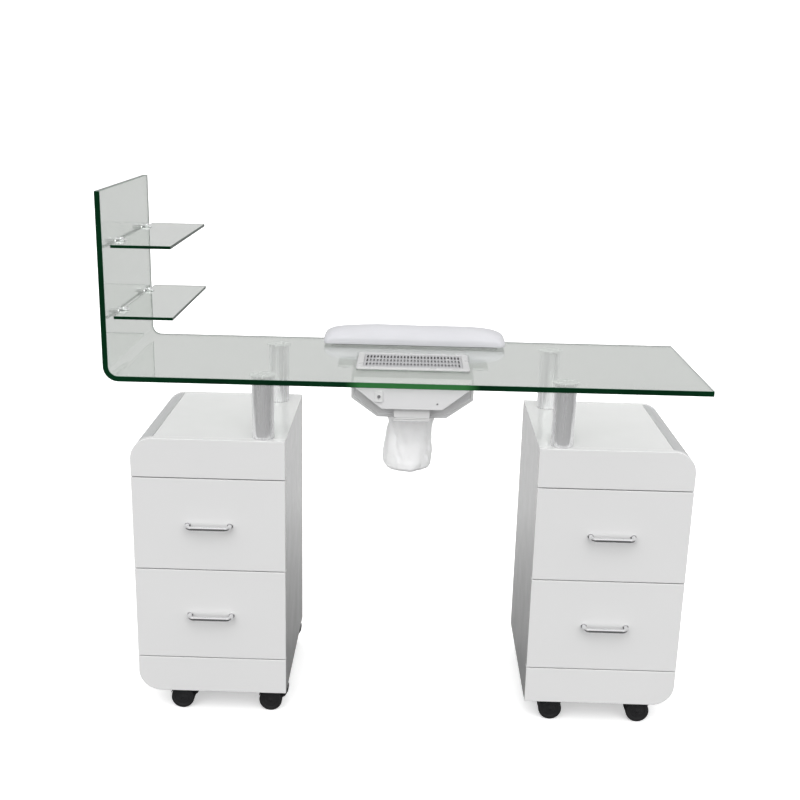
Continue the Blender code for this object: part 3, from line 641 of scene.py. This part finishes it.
def make_piping(cushion, low, high):
    """A thin piping laid on the cushion just above its lower edge."""
    height, past, far_in, spacing, radius = low.z + 0.0052, 0.02, 0.04, 0.004, 0.0007
    middle = middle_of(low, high)
    outline = rounded_rectangle(middle, high.x - low.x + past, high.y - low.y + past, 0.036, 10)
    dense = []
    for a, b in zip(outline, outline[1:] + outline[:1]):
        steps = max(1, int(dist(a, b) / spacing))
        dense += [(a[0] + (b[0] - a[0]) * k / steps, a[1] + (b[1] - a[1]) * k / steps) for k in range(steps)]
    graph = bpy.context.evaluated_depsgraph_get()
    hits = []
    for x, y in dense:
        origin = Vector((x, y, height))
        inward = Vector((min(max(x, low.x + far_in), high.x - far_in), middle[1], height)) - origin
        found, point, normal, _ = cushion.ray_cast(origin, inward.normalized(), depsgraph=graph)
        if found:
            hits.append(point + normal * 0.0001)
    levels = []
    for i, point in enumerate(hits):
        out = (hits[(i + 1) % len(hits)] - hits[i - 1]).normalized().cross(UP).normalized()
        levels.append([point + radius * (cos(a) * out + sin(a) * UP) for a in turned(8)])
    piece("rest_piping", skin(levels, closed=True), "vinyl")


# -------- vent


def make_vent():
    low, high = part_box("vent_frame")
    plate_low, plate_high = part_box("vent_grille")
    middle = middle_of(low, high)
    width, deep = high.x - low.x, high.y - low.y
    top, flange = high.z, high.z - 0.0037
    mouth = (plate_high.x - plate_low.x + 0.001, plate_high.y - plate_low.y + 0.001)
    throat = (mouth[0] - 0.006, mouth[1] - 0.006)
    ledge = plate_low.z - GAP
    sleeve = (width - 0.021, deep - 0.021)
    loops = [(width, deep, 0.005, flange), (width, deep, 0.005, top - 0.0012)]
    loops += [(width - 0.0024, deep - 0.0024, 0.004, top), (mouth[0] + 0.002, mouth[1] + 0.002, 0.004, top)]
    loops += [(*mouth, 0.003, top - 0.0008), (*mouth, 0.003, ledge), (*throat, 0.002, ledge)]
    loops += [(*throat, 0.002, low.z), (*sleeve, 0.0055, low.z), (*sleeve, 0.0055, flange)]
    levels = [[(x, y, z) for x, y in rounded_rectangle(middle, w, d, radius)] for w, d, radius, z in loops]
    piece("vent_rim", skin(levels, closed=True), "rim", "vent_frame")
    make_plate(plate_low, plate_high)


def make_plate(low, high):
    """The grille plate with three rows of long round-ended slots, the mat under it and its two screws."""
    columns, rows = 28, 3
    pitch_x, pitch_y = 0.00712, 0.0372
    slot_half, slot_radius, steps = 0.014, 0.0019, 6
    middle = middle_of(low, high)
    lines_x = [middle[0] + (i - columns / 2) * pitch_x for i in range(columns + 1)]
    lines_y = [middle[1] + (j - rows / 2) * pitch_y for j in range(rows + 1)]
    bm = bmesh.new()
    add, known = bm.faces.new, {}

    def vertex(x, y, z):
        key = (round(x, 6), round(y, 6), round(z, 6))
        if key not in known:
            known[key] = bm.verts.new((x, y, z))
        return known[key]

    for i in range(columns):
        for j in range(rows):
            west, east, south, north = lines_x[i], lines_x[i + 1], lines_y[j], lines_y[j + 1]
            x, y, reach = (west + east) / 2, (south + north) / 2, slot_half - slot_radius
            upper = arc((x, y + reach), slot_radius, 0, 180, steps)
            lower = arc((x, y - reach), slot_radius, 180, 360, steps)
            loops = []
            for z in (high.z, low.z):
                a, b = ([vertex(*p, z) for p in points] for points in (upper, lower))
                loops.append(a + b)
                ne, nw = vertex(east, north, z), vertex(west, north, z)
                sw, se = vertex(west, south, z), vertex(east, south, z)
                add([nw, ne] + a)
                add([se, sw] + b)
                add([sw, nw, a[-1], b[0]])
                add([ne, se, b[-1], a[0]])
            top, bottom = loops
            for k in range(len(top)):
                n = (k + 1) % len(top)
                add((top[k], top[n], bottom[n], bottom[k]))
    corners = rectangle(low.x, high.x, low.y, high.y)
    for z in (high.z, low.z):
        outer = [vertex(*corner, z) for corner in corners]
        south, north = ([vertex(x, y, z) for x in lines_x] for y in (lines_y[0], lines_y[-1]))
        west, east = ([vertex(x, y, z) for y in lines_y] for x in (lines_x[0], lines_x[-1]))
        add([outer[0], outer[1]] + south[::-1])
        add([outer[1], outer[2]] + east[::-1])
        add([outer[2], outer[3]] + north)
        add([outer[3], outer[0]] + west)
    for a, b in zip(corners, corners[1:] + corners[:1]):
        add((vertex(*a, high.z), vertex(*b, high.z), vertex(*b, low.z), vertex(*a, low.z)))
    bmesh.ops.recalc_face_normals(bm, faces=bm.faces)
    piece("vent_plate", bm, "plate", "vent_grille")

    slope = [(low.y + 0.004, low.z - 0.0012), (middle[1] + 0.016, low.z - 0.002)]
    slope += [(middle[1] + 0.024, low.z - 0.01), (high.y - 0.004, low.z - 0.012)]
    slope += [(y, z - 0.0015) for y, z in reversed(slope)]
    mat = round_edges(prism(slope, low.x + 0.006, high.x - 0.006, "X"), 0.0004, 1)
    piece("vent_mat", mat, "mat")
    places = [(middle[0] + side * 0.0735, middle[1] + pitch_y / 2, high.z) for side in SIDES]
    heads = [screw(place, 0.0042, "Z", 0.0014, 1) for place in places]
    piece("vent_plate_screws", merge(*heads), "rim")


# -------- collector


def make_collector():
    low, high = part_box("collector_hopper")
    x, top = (low.x + high.x) / 2, high.z
    half, half_bottom, shoulder = 0.1233, 0.07, 0.709
    wall, lid, ear_thick = 0.003, 0.002, 0.004
    outline = [(x + half, top), (x + half, shoulder), (x + half_bottom, low.z)]
    outline += [(x - half_bottom, low.z), (x - half, shoulder), (x - half, top)]
    inner = [(u, top - lid if v > shoulder + wall else v) for u, v in offset_outline(outline, wall)]
    bm = carve(prism(outline, low.y, high.y), prism(inner, low.y + wall, high.y - wall))
    mouth = rounded_rectangle(middle_of(*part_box("vent_frame")), 0.214, 0.134, 0.006)
    bm = carve(bm, prism(mouth, top - 2 * lid, top + lid, "Z"))
    bm = carve(bm, prism(offset_outline(outline, 0.0055), low.y - wall, low.y + 0.0022))
    collar_low, collar_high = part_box("fan_collar")
    centre = (x, (collar_low.y + collar_high.y) / 2, 0)
    bm = carve(bm, lathe(rectangle(0, FAN_BORE, low.z - 0.01, low.z + 0.01), centre))
    parts = [round_edges(bm, 0.0009, 2, 20)]
    for side in SIDES:
        ends = sorted((x + side * (half + 0.0002), x + side * (high.x - low.x) / 2))
        ear = rounded_rectangle(((ends[0] + ends[1]) / 2, -0.016), ends[1] - ends[0], 0.09, 0.005)
        parts.append(round_edges(prism(ear, top - ear_thick, top, "Z"), 0.0006, 1))
    # painted shade: the upward faces at the very top take the darker copy of the housing
    shell = mark(merge(*parts), lambda c, n: n.z > 0.9 and c.z > top - 0.0005)
    piece("hopper_shell", shell, "housing gasket", "collector_hopper")
    head = [(0, 0), (0.0065, 0), (0.0065, -0.0022), (0.0055, -0.003), (0, -0.003)]
    places = [(x + side * 0.141, y, top - ear_thick) for side in SIDES for y in (-0.048, 0.016)]
    piece("ear_screws", merge(*(lathe(head, place, "Z", 24) for place in places)), "zinc")

    cover_low, cover_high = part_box("collector_cover")
    face, plate = cover_low.y, 0.0025
    upper, lower, bottom = (cover_high.x - cover_low.x) / 2, 0.06, 0.699
    outline = [(x + upper, top), (x + lower, bottom), (x - lower, bottom), (x - upper, top)]
    hollow = prism(offset_outline(outline, plate), face + plate, cover_high.y + 0.01)
    cover = round_edges(carve(prism(outline, face, cover_high.y), hollow), 0.0009, 2, 20)
    piece("cover_shell", cover, "housing", "collector_cover")
    slabs = []
    for under, over, inset in ((0.679, 0.69875, 0), (0.6756, 0.6785, 0.0006), (0.6722, 0.6751, 0.0002)):
        middle, size = (x, (under + over) / 2), (0.072 - 2 * inset, over - under)
        slab = rounded_rectangle(middle, *size, min(0.004, size[1] * 0.3), 6)
        slabs.append(round_edges(prism(slab, low.y - 0.034 + inset, low.y - GAP), 0.0006))
    piece("collector_lip", merge(*slabs), "block")
    piece("cover_screw", screw((x + 0.05, face, 0.7115), 0.002, "Y", 0.0009, -1), "zinc")
    make_switch()
    make_fan(centre)
    make_bag(centre)


def make_switch():
    low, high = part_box("switch_plate")
    button_low, button_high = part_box("switch_button")
    x, z = (low.x + high.x) / 2, (low.z + high.z) / 2
    centre, face = (x, 0, z), low.y
    plate = prism(rounded_rectangle((x, z), high.x - low.x, high.z - low.z, 0.0035, 6), face, high.y)
    plate = carve(plate, lathe(rectangle(0, 0.0033, face - 0.001, face + 0.0028), centre, "Y", 32))
    round_edges(plate, 0.0006, 2, 40)
    back, lip = face + 0.0002, face - 0.0006
    bead = [(0.0036, back), (0.0036, lip), (0.0048, lip), (0.0052, back)]
    piece("switch_bezel", merge(plate, lathe(bead, centre, "Y", 40, closed=True)), "block", "switch_plate")
    radius = (button_high.x - button_low.x) / 2
    front, back = button_low.y, button_high.y
    profile = [(0, front + 0.0003), (radius * 0.6, front + 0.0002), (radius * 0.85, front)]
    profile += [(radius, front + 0.0004), (radius, back), (0, back)]
    piece("switch_cap", lathe(profile, centre, "Y", 32), "button", "switch_button", "button")


def make_fan(centre):
    low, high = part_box("fan_collar")
    bore, top, bottom = FAN_BORE, high.z, low.z
    outer = (high.x - low.x) / 2
    ridge, groove = outer - 0.001, outer - 0.003
    profile = [(bore, top), (outer, top), (outer, top - 0.0045), (outer - 0.0006, top - 0.0052)]
    profile += [(groove, top - 0.0056), (groove, top - 0.0092), (ridge, top - 0.0098), (ridge, top - 0.0125)]
    profile += [(groove + 0.0008, top - 0.013), (groove + 0.0008, top - 0.0145), (ridge, top - 0.015)]
    profile += [(ridge, bottom + 0.0062), (groove, bottom + 0.0055), (groove, bottom), (bore, bottom)]
    level, thick, hub = bottom + 0.002, 0.004, 0.0135
    seat = [(0, level), (hub - 0.001, level), (hub, level + 0.001), (hub, level + 0.005), (0, level + 0.005)]
    parts = [lathe(profile, centre, "Z", 96, closed=True), lathe(seat, centre, "Z", 48)]
    for radius in (0.016, 0.028, 0.04):
        ring = rectangle(radius - 0.001, radius + 0.001, level, level + thick)
        parts.append(lathe(ring, centre, "Z", 48, closed=True))
    for arm in range(3):
        spoke = block((0.006, -0.002, level), (bore + 0.002, 0.002, level + thick), 0.0005)
        turn = Matrix.Translation(centre) @ Matrix.Rotation(radians(120 * arm + 90), 4, "Z")
        bmesh.ops.transform(spoke, matrix=turn, verts=spoke.verts)
        parts.append(spoke)
    piece("collar_ring", merge(*parts), "housing", "fan_collar")

    low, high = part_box("fan_rotor")
    middle, half_height = (low.z + high.z) / 2, (high.z - low.z) / 2
    reach, root, blades, steps, thin = (high.y - low.y) / 2 - 0.0005, 0.013, 7, 6, Vector((0, 0, 0.0005))
    profile = [(0, low.z), (hub - 0.001, low.z), (hub, low.z + 0.0008)]
    profile += [(hub, high.z - 0.001), (hub - 0.001, high.z), (0, high.z)]
    parts = [lathe(profile, centre, "Z", 48)]
    for start in turned(blades):
        levels = []
        for step in range(steps + 1):
            share = step / steps
            radius = root + (reach - root) * share
            tilt = radians(42 - 16 * share)
            half = 0.0066 + 0.0026 * sin(share * pi * 0.8)
            ends = []
            for side in SIDES:
                angle = start + 0.35 * share + side * half * cos(tilt) / radius * 0.8
                z = middle + side * min(half * sin(tilt), half_height - 0.0009)
                ends.append(Vector((centre[0] + radius * cos(angle), centre[1] + radius * sin(angle), z)))
            a, b = ends
            levels.append([a - thin, a + thin, b + thin, b - thin])
        parts.append(skin(levels))
    piece("fan_wheel", merge(*parts), "black", "fan_rotor", "fan")


def make_bag(centre):
    """A short hollow cloth bag, gathered on the collar, leaning left, with creases and a puckered end."""
    low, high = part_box("dust_bag")
    top, drop = high.z, high.z - low.z
    rows, around, pleats = 64, 128, 22
    rng = random.Random(7)
    folds = []
    for _ in range(CREASE_COUNT):
        start, width = rng.uniform(0, 2 * pi), rng.uniform(0.07, 0.15)
        folds.append((start, width, rng.uniform(-1.5, 1.5), rng.uniform(0.4, 1)))
    body = [(0, 0.0468), (0.04, 0.0505), (0.1, 0.049), (0.2, 0.0485), (0.45, 0.0505), (0.65, 0.052)]
    body += [(0.82, 0.0512), (0.91, 0.0485), (0.965, 0.0425), (0.99, 0.032), (1, 0.012)]
    shares, radii = zip(*body)
    levels = []
    for i in range(rows + 1):
        share = 1 - (1 - i / rows) ** 1.25
        radius = float(np.interp(share, shares, radii))
        level = []
        for angle in turned(around):
            c, s = cos(angle), sin(angle)
            pleat = 0.001 * cos(pleats * angle + 2 * sin(3 * angle)) * max(0, 1 - share / 0.16)
            crease = 0
            for start, width, slope, depth in folds:
                offset = (angle - start - slope * share + pi) % (2 * pi) - pi
                shown = sin(pi * min(1, share * 1.1)) ** 0.7
                crease -= CREASE * depth * exp(-((offset / width) ** 2)) * shown
            bulge = 0.0032 * noise.noise(Vector((c * 2.2, s * 2.2, share * 4 + 3.1)))
            bulge += 0.0009 * noise.noise(Vector((c * 7, s * 7, share * 13)))
            bulge *= min(1, share * 4) * min(1, radius / 0.03)
            r = radius + pleat + crease * min(1, radius / 0.04) + bulge
            lean = -0.0075 * share - 0.002 * sin(pi * share)
            sag = 0.004 * noise.noise(Vector((c * 1.4 + 5, s * 1.4, 0.5))) * max(0, share - 0.6) / 0.4
            z = max(top - drop * share + sag, low.z + 0.0008)
            level.append((centre[0] + lean + r * c, centre[1] + r * s, z))
        levels.append(level)
    bag = piece("filter_bag", skin(levels, caps=(-1,)), "cloth", "dust_bag")
    bag.modifiers.clear()
    shell = bag.modifiers.new("cloth_thickness", "SOLIDIFY")
    shell.thickness, shell.offset = 0.0007, -1
    apply_all(bag)
    bag.data.shade_smooth()
    inside = 0.0463
    band = [(inside, top - 0.0002), (0.0494, top - 0.0002), (0.0497, top - 0.0014)]
    band += [(0.0497, top - 0.0048), (0.0492, top - 0.006), (inside, top - 0.006)]
    hem = piece("bag_band", lathe(band, centre, "Z", 96, closed=True), "cloth")


# -------- posts and cabinets


def make_posts():
    """Round tubes with a fine joint above the foot and a disc under the glass."""
    for name in ("left_front", "left_rear", "right_front", "right_rear"):
        low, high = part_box("post_" + name)
        disc, radius, ease, line = (high.x - low.x) / 2, 0.0225, 0.0006, 0.0003
        base, seat = low.z, high.z - 0.004
        profile = [(0, base), (radius - ease, base), (radius, base + ease), (radius, base + 0.0035)]
        profile += [(radius - line, base + 0.0039), (radius - line, base + 0.0043), (radius, base + 0.0047)]
        profile += [(radius, seat - 0.0035), (radius - ease, seat - 0.003), (radius - ease, seat)]
        profile += [(disc - ease, seat), (disc, seat + ease), (disc, high.z - ease), (disc - ease, high.z)]
        bar = lathe(profile + [(0, high.z)], (*middle_of(low, high), 0), "Z", 96)
        piece("tube_" + name, bar, "steel", "post_" + name)


def make_cabinet(side, sign):
    low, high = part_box("back_" + side)
    inner = low.x if sign > 0 else high.x
    width = high.x - low.x
    corner, board, wrap = 0.045, 0.016, 0.01
    straight = width - corner
    base, top = low.z, high.z
    fascia_low, fascia_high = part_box("fascia_top_" + side)
    carcass_low, carcass_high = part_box("carcass_" + side)
    low_corner, high_corner = (straight, base + corner), (straight, top - corner)
    low_bend, high_bend = arc(low_corner, corner, 270, 360, 24), arc(high_corner, corner, 0, 90, 24)

    def across(points, start, end):
        """A prism from front to back, of an outline measured outwards from the cabinet's inner side."""
        return prism([(inner + sign * u, z) for u, z in points], start, end)

    boards = [(0, base), (straight - GAP, base), (straight - GAP, base + board), (board, base + board)]
    boards += [(u, base + top - z) for u, z in reversed(boards)]
    bm = round_edges(across(boards, carcass_low.y, carcass_high.y), 0.0007)
    # painted shade: only the top faces take the full lacquer; every other face takes its darker copy
    mark(bm, lambda c, n: n.z > 0.5 and c.z > top - 0.004)
    piece("boards_" + side, bm, "panel lacquer", "carcass_" + side)

    band = low_bend + high_bend
    band += arc(high_corner, corner - wrap, 90, 0, 24) + arc(low_corner, corner - wrap, 360, 270, 24)
    bm = round_edges(across(band, carcass_low.y, carcass_high.y), 0.0005, 2, 50)
    piece("bent_board_" + side, bm, "silver", "wrap_" + side)

    bm = across([(0, base)] + low_bend + high_bend + [(0, top)], low.y, high.y)
    piece("back_board_" + side, round_edges(bm, 0.0008, 2, 50), "lacquer", "back_" + side)

    top_low, bottom_high = fascia_low.z - TRIM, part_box("fascia_bottom_" + side)[1].z + TRIM
    outlines = {
        "top": [(0, top_low), (width, top_low)] + high_bend + [(0, top)],
        "bottom": [(0, base)] + low_bend + [(width, bottom_high), (0, bottom_high)],
    }
    for name, outline in outlines.items():
        bm = round_edges(across(outline, fascia_low.y, fascia_high.y), 0.0012, 3, 50)
        piece("front_%s_%s" % (name, side), bm, "lacquer", "fascia_%s_%s" % (name, side))

    rails = []
    for tag in (side + "_lower", side + "_upper"):
        body = "drawer_" + tag
        panel_low, panel_high = (Vector(corner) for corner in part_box("drawer_front_" + tag))
        panel_low.z, panel_high.z = panel_low.z - TRIM, panel_high.z + TRIM
        piece("panel_" + tag, block(panel_low, panel_high, 0.0012, 3), "lacquer", "drawer_front_" + tag, body)
        make_tray(tag, body)
        make_handle(tag, body)
        box_low, box_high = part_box("drawer_box_" + tag)
        middle = box_low.z + 0.06

        def rail(wall, step, offset, half):
            ends = sorted((wall + step * offset, wall + step * (offset + 0.0032)))
            start = (ends[0], box_low.y + 0.006, middle - half)
            return block(start, (ends[1], box_high.y - 0.004, middle + half), 0.0006)

        for wall, step, letter in ((box_low.x, -1, "a"), (box_high.x, 1, "b")):
            piece("runner_%s_%s" % (tag, letter), rail(wall, step, 0.0002, 0.011), "zinc", None, body)
            rails.append(rail(wall, step, 0.0045, 0.017))
    piece("fixed_runners_" + side, merge(*rails), "zinc")


def make_tray(tag, body):
    low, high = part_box("drawer_box_" + tag)
    wall, floor = Vector((0.01, 0.01, 0)), 0.006
    inside = (low + wall, high - wall)
    levels = []
    for (a, b), z in (((low, high), low.z), ((low, high), high.z), (inside, high.z), (inside, low.z + floor)):
        levels.append([(x, y, z) for x, y in rectangle(a.x, b.x, a.y, b.y)])
    piece("tray_" + tag, round_edges(skin(levels), 0.0008), "liner", "drawer_box_" + tag, body)


def make_handle(tag, body):
    low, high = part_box("handle_" + tag)
    radius = (high.z - low.z) / 2
    x, z = (low.x + high.x) / 2, (low.z + high.z) / 2
    half = (high.x - low.x) / 2 - radius
    start, reach, bend = high.y, low.y + radius, 0.012
    path = [(half, start), (half, start - 0.004)] + arc((half - bend, reach + bend), bend, 0, -90, 14)
    path += [(half / 2, reach), (0, reach)]
    path += [(-u, v) for u, v in reversed(path[:-1])]
    parts = [tube([(x + u, v, z) for u, v in path], radius, 24)]
    foot, lip, thick = radius + 0.0016, radius + 0.0006, 0.0022
    profile = [(0, start), (foot, start), (foot, start - 0.0012), (lip, start - thick), (0, start - thick)]
    parts += [lathe(profile, (x + side * half, 0, z), "Y", 32) for side in SIDES]
    piece("pull_" + tag, merge(*parts), "chrome", "handle_" + tag, body)


# -------- casters


def caster_hood(braked):
    """A web and a cover over the wheels, and a ridged brake tab where there is one, about the axle."""
    web = arc((0, 0), 0.0255, 25, 165, 28) + arc((0, 0), 0.009, 200, 340, 14)
    cover = arc((0, 0), 0.0278, 35, 155, 28) + arc((0, 0), 0.0262, 155, 35, 28)
    parts = [round_edges(prism(web, -0.0046, 0.0046), 0.0004, 1)]
    parts.append(round_edges(prism(cover, -0.0228, 0.0228), 0.0004, 1))
    if braked:
        tab = arc((0, 0), 0.0263, 8, 58, 12) + [(0.02, 0.0278), (0.034, 0.0282)]
        tab += [(0.0375, 0.0262), (0.038, 0.0185), (0.0315, 0.0068)]
        parts.append(round_edges(prism(tab, -0.0138, 0.0138), 0.0012))
        for k in range(4):
            start = 0.0305 + 0.0016 * k
            parts.append(block((start, -0.011, 0.0277), (start + 0.0007, 0.011, 0.0286), 0.0002))
    hood = merge(*parts)
    bmesh.ops.transform(hood, matrix=Matrix.Translation((-CASTER_TRAIL, 0, 0)), verts=hood.verts)
    return hood


def caster_meshes():
    """The hood with and without a brake tab, the stem, and the wheel pair, each about its own centre."""
    cap, neck, joint = 0.0088, 0.007, 0.0284
    stem = [(0, 0.0266), (cap, 0.0266), (cap, 0.0278), (neck, 0.0281), (neck, joint)]
    stem += [(cap, joint + 0.0003), (0, joint + 0.0003)]
    wheel = [(0.0045, -0.022), (0.01, -0.0216), (0.0105, -0.0206), (0.016, -0.0202), (0.0168, -0.0212)]
    wheel += [(0.0205, -0.0219), (0.0232, -0.0216), (0.0246, -0.0202), (0.025, -0.018), (0.025, -0.0085)]
    wheel += [(0.0244, -0.0064), (0.023, -0.0059), (0.0045, -0.0059)]
    nut = [(0, -0.0219), (0.003, -0.0218), (0.0042, -0.0212), (0.0042, -0.01), (0, -0.01)]
    origin = (0, 0, 0)
    pair = [lathe([(r, sign * h) for r, h in wheel], origin, "Y", 64, closed=True) for sign in (1, -1)]
    pair += [lathe([(r, sign * h) for r, h in nut], origin, "Y", 32) for sign in (1, -1)]
    pair.append(lathe(rectangle(0, 0.0038, -0.0202, 0.0202), origin, "Y", 24))
    return {
        "hood_braked": stored(caster_hood(True), "caster_hood_mesh", "black"),
        "hood_plain": stored(caster_hood(False), "caster_hood_mesh", "black"),
        "stem": stored(lathe(stem, origin, "Z", 40), "caster_stem_mesh", "zinc"),
        "wheels": stored(merge(*pair), "caster_wheel_mesh", "tread"),
    }


def make_casters():
    meshes = caster_meshes()
    for swivel in (joint["name"] for joint in frame["joints"] if joint["name"].startswith("swivel_")):
        tag = swivel[len("swivel_"):]
        wheel_low, wheel_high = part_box("caster_wheels_" + tag)
        axle = (wheel_low + wheel_high) / 2
        pivot = (axle.x + CASTER_TRAIL, axle.y, axle.z)
        hood = meshes["hood_braked" if tag.startswith("left") else "hood_plain"]
        piece("hood_" + tag, hood, "black", "caster_hood_" + tag, swivel, pivot)
        piece("stem_" + tag, meshes["stem"], "zinc", None, swivel, pivot, slot="black_plastic")
        wheels = ("caster_wheels_" + tag, "wheels_" + tag)
        piece("wheels_pair_" + tag, meshes["wheels"], "tread", *wheels, tuple(axle))


# -------- studio


def make_floor():
    """A plain floor, white in the picture and a softer grey in what the table reflects."""
    made, tree, shader, place = new_material("pale_floor")
    rays = node(tree, "LightPath").outputs
    away = node(tree, "SeparateXYZ", {"Vector": place}).outputs["Y"]
    tone = spread(tree, away, 0.1, 0.54, -0.3, 1.3)
    for ray, level in (("Is Transmission Ray", 0.54), ("Is Camera Ray", 0.97)):
        tone = blend(tree, rays[ray], tone, level)
    glow = calculate(tree, "MULTIPLY", rays["Is Camera Ray"], 0.4)
    feed(tree, shader, {
        "Base Color": tone, "Roughness": 0.8, "Specular IOR Level": 0,
        "Emission Color": (1, 1, 1, 1), "Emission Strength": glow,
    })
    bm = bmesh.new()
    bmesh.ops.create_circle(bm, cap_ends=True, segments=96, radius=40)
    floor = add_object("studio_floor", as_mesh(bm, "studio_floor"))
    floor.data.materials.append(made)
    floor.location = (0, 0, -0.0004)


def make_studio():
    """White surroundings, dimmer to the sides, ahead and behind the viewer, and a broad sun."""
    world = bpy.data.worlds.new("studio")
    world.use_nodes = True
    tree = world.node_tree
    way = node(tree, "TexCoord").outputs["Generated"]
    parts = node(tree, "SeparateXYZ", {"Vector": way}).outputs
    walls = spread(tree, calculate(tree, "ABSOLUTE", parts["X"]), 1, 0.66, 0.35, 0.95, "SMOOTHSTEP")
    behind = spread(tree, parts["Y"], 1, 0.22, -0.78, -0.96, "SMOOTHSTEP")
    ahead = spread(tree, parts["Y"], 1, 0.7, 0.55, 0.92, "SMOOTHSTEP")
    light = calculate(tree, "MULTIPLY", walls, calculate(tree, "MULTIPLY", behind, ahead))
    seen = node(tree, "LightPath").outputs["Is Camera Ray"]
    strength = blend(tree, seen, light, 1.15)
    feed(tree, tree.nodes["Background"], {"Color": (1, 1, 1, 1), "Strength": strength})
    SCENE.world = world
    sun = bpy.data.lights.new("overhead", "SUN")
    sun.energy = 2.2
    sun.angle = radians(70)
    overhead = add_object("overhead", sun)
    overhead.rotation_euler = (radians(59), radians(-4), 0)
    overhead.visible_glossy = False
    SCENE.view_settings.view_transform = "Standard"


def make_camera():
    """The photograph's viewpoint: a little over eye level, in front of the technician's side."""
    data = bpy.data.cameras.new("view")
    data.sensor_width = 36
    data.lens = 56.36
    data.shift_x, data.shift_y = 0.0282, 0.125
    camera = add_object("view", data)
    yaw, pitch, roll, level = (radians(a) for a in (1.36, -18.44, -1.16, 90))
    turn = Matrix.Rotation(yaw, 4, "Z") @ Matrix.Rotation(pitch, 4, "X") @ Matrix.Rotation(roll, 4, "Y")
    place = Matrix.Translation((0.0031, -2.6283, 1.3141))
    camera.matrix_world = place @ turn @ Matrix.Rotation(level, 4, "X")
    SCENE.camera = camera


def main():
    make_camera()
    make_looks()
    make_glass()
    make_armrest()
    make_vent()
    make_collector()
    make_posts()
    for side, sign in (("left", -1), ("right", 1)):
        make_cabinet(side, sign)
    make_casters()
    make_floor()
    make_studio()


main()
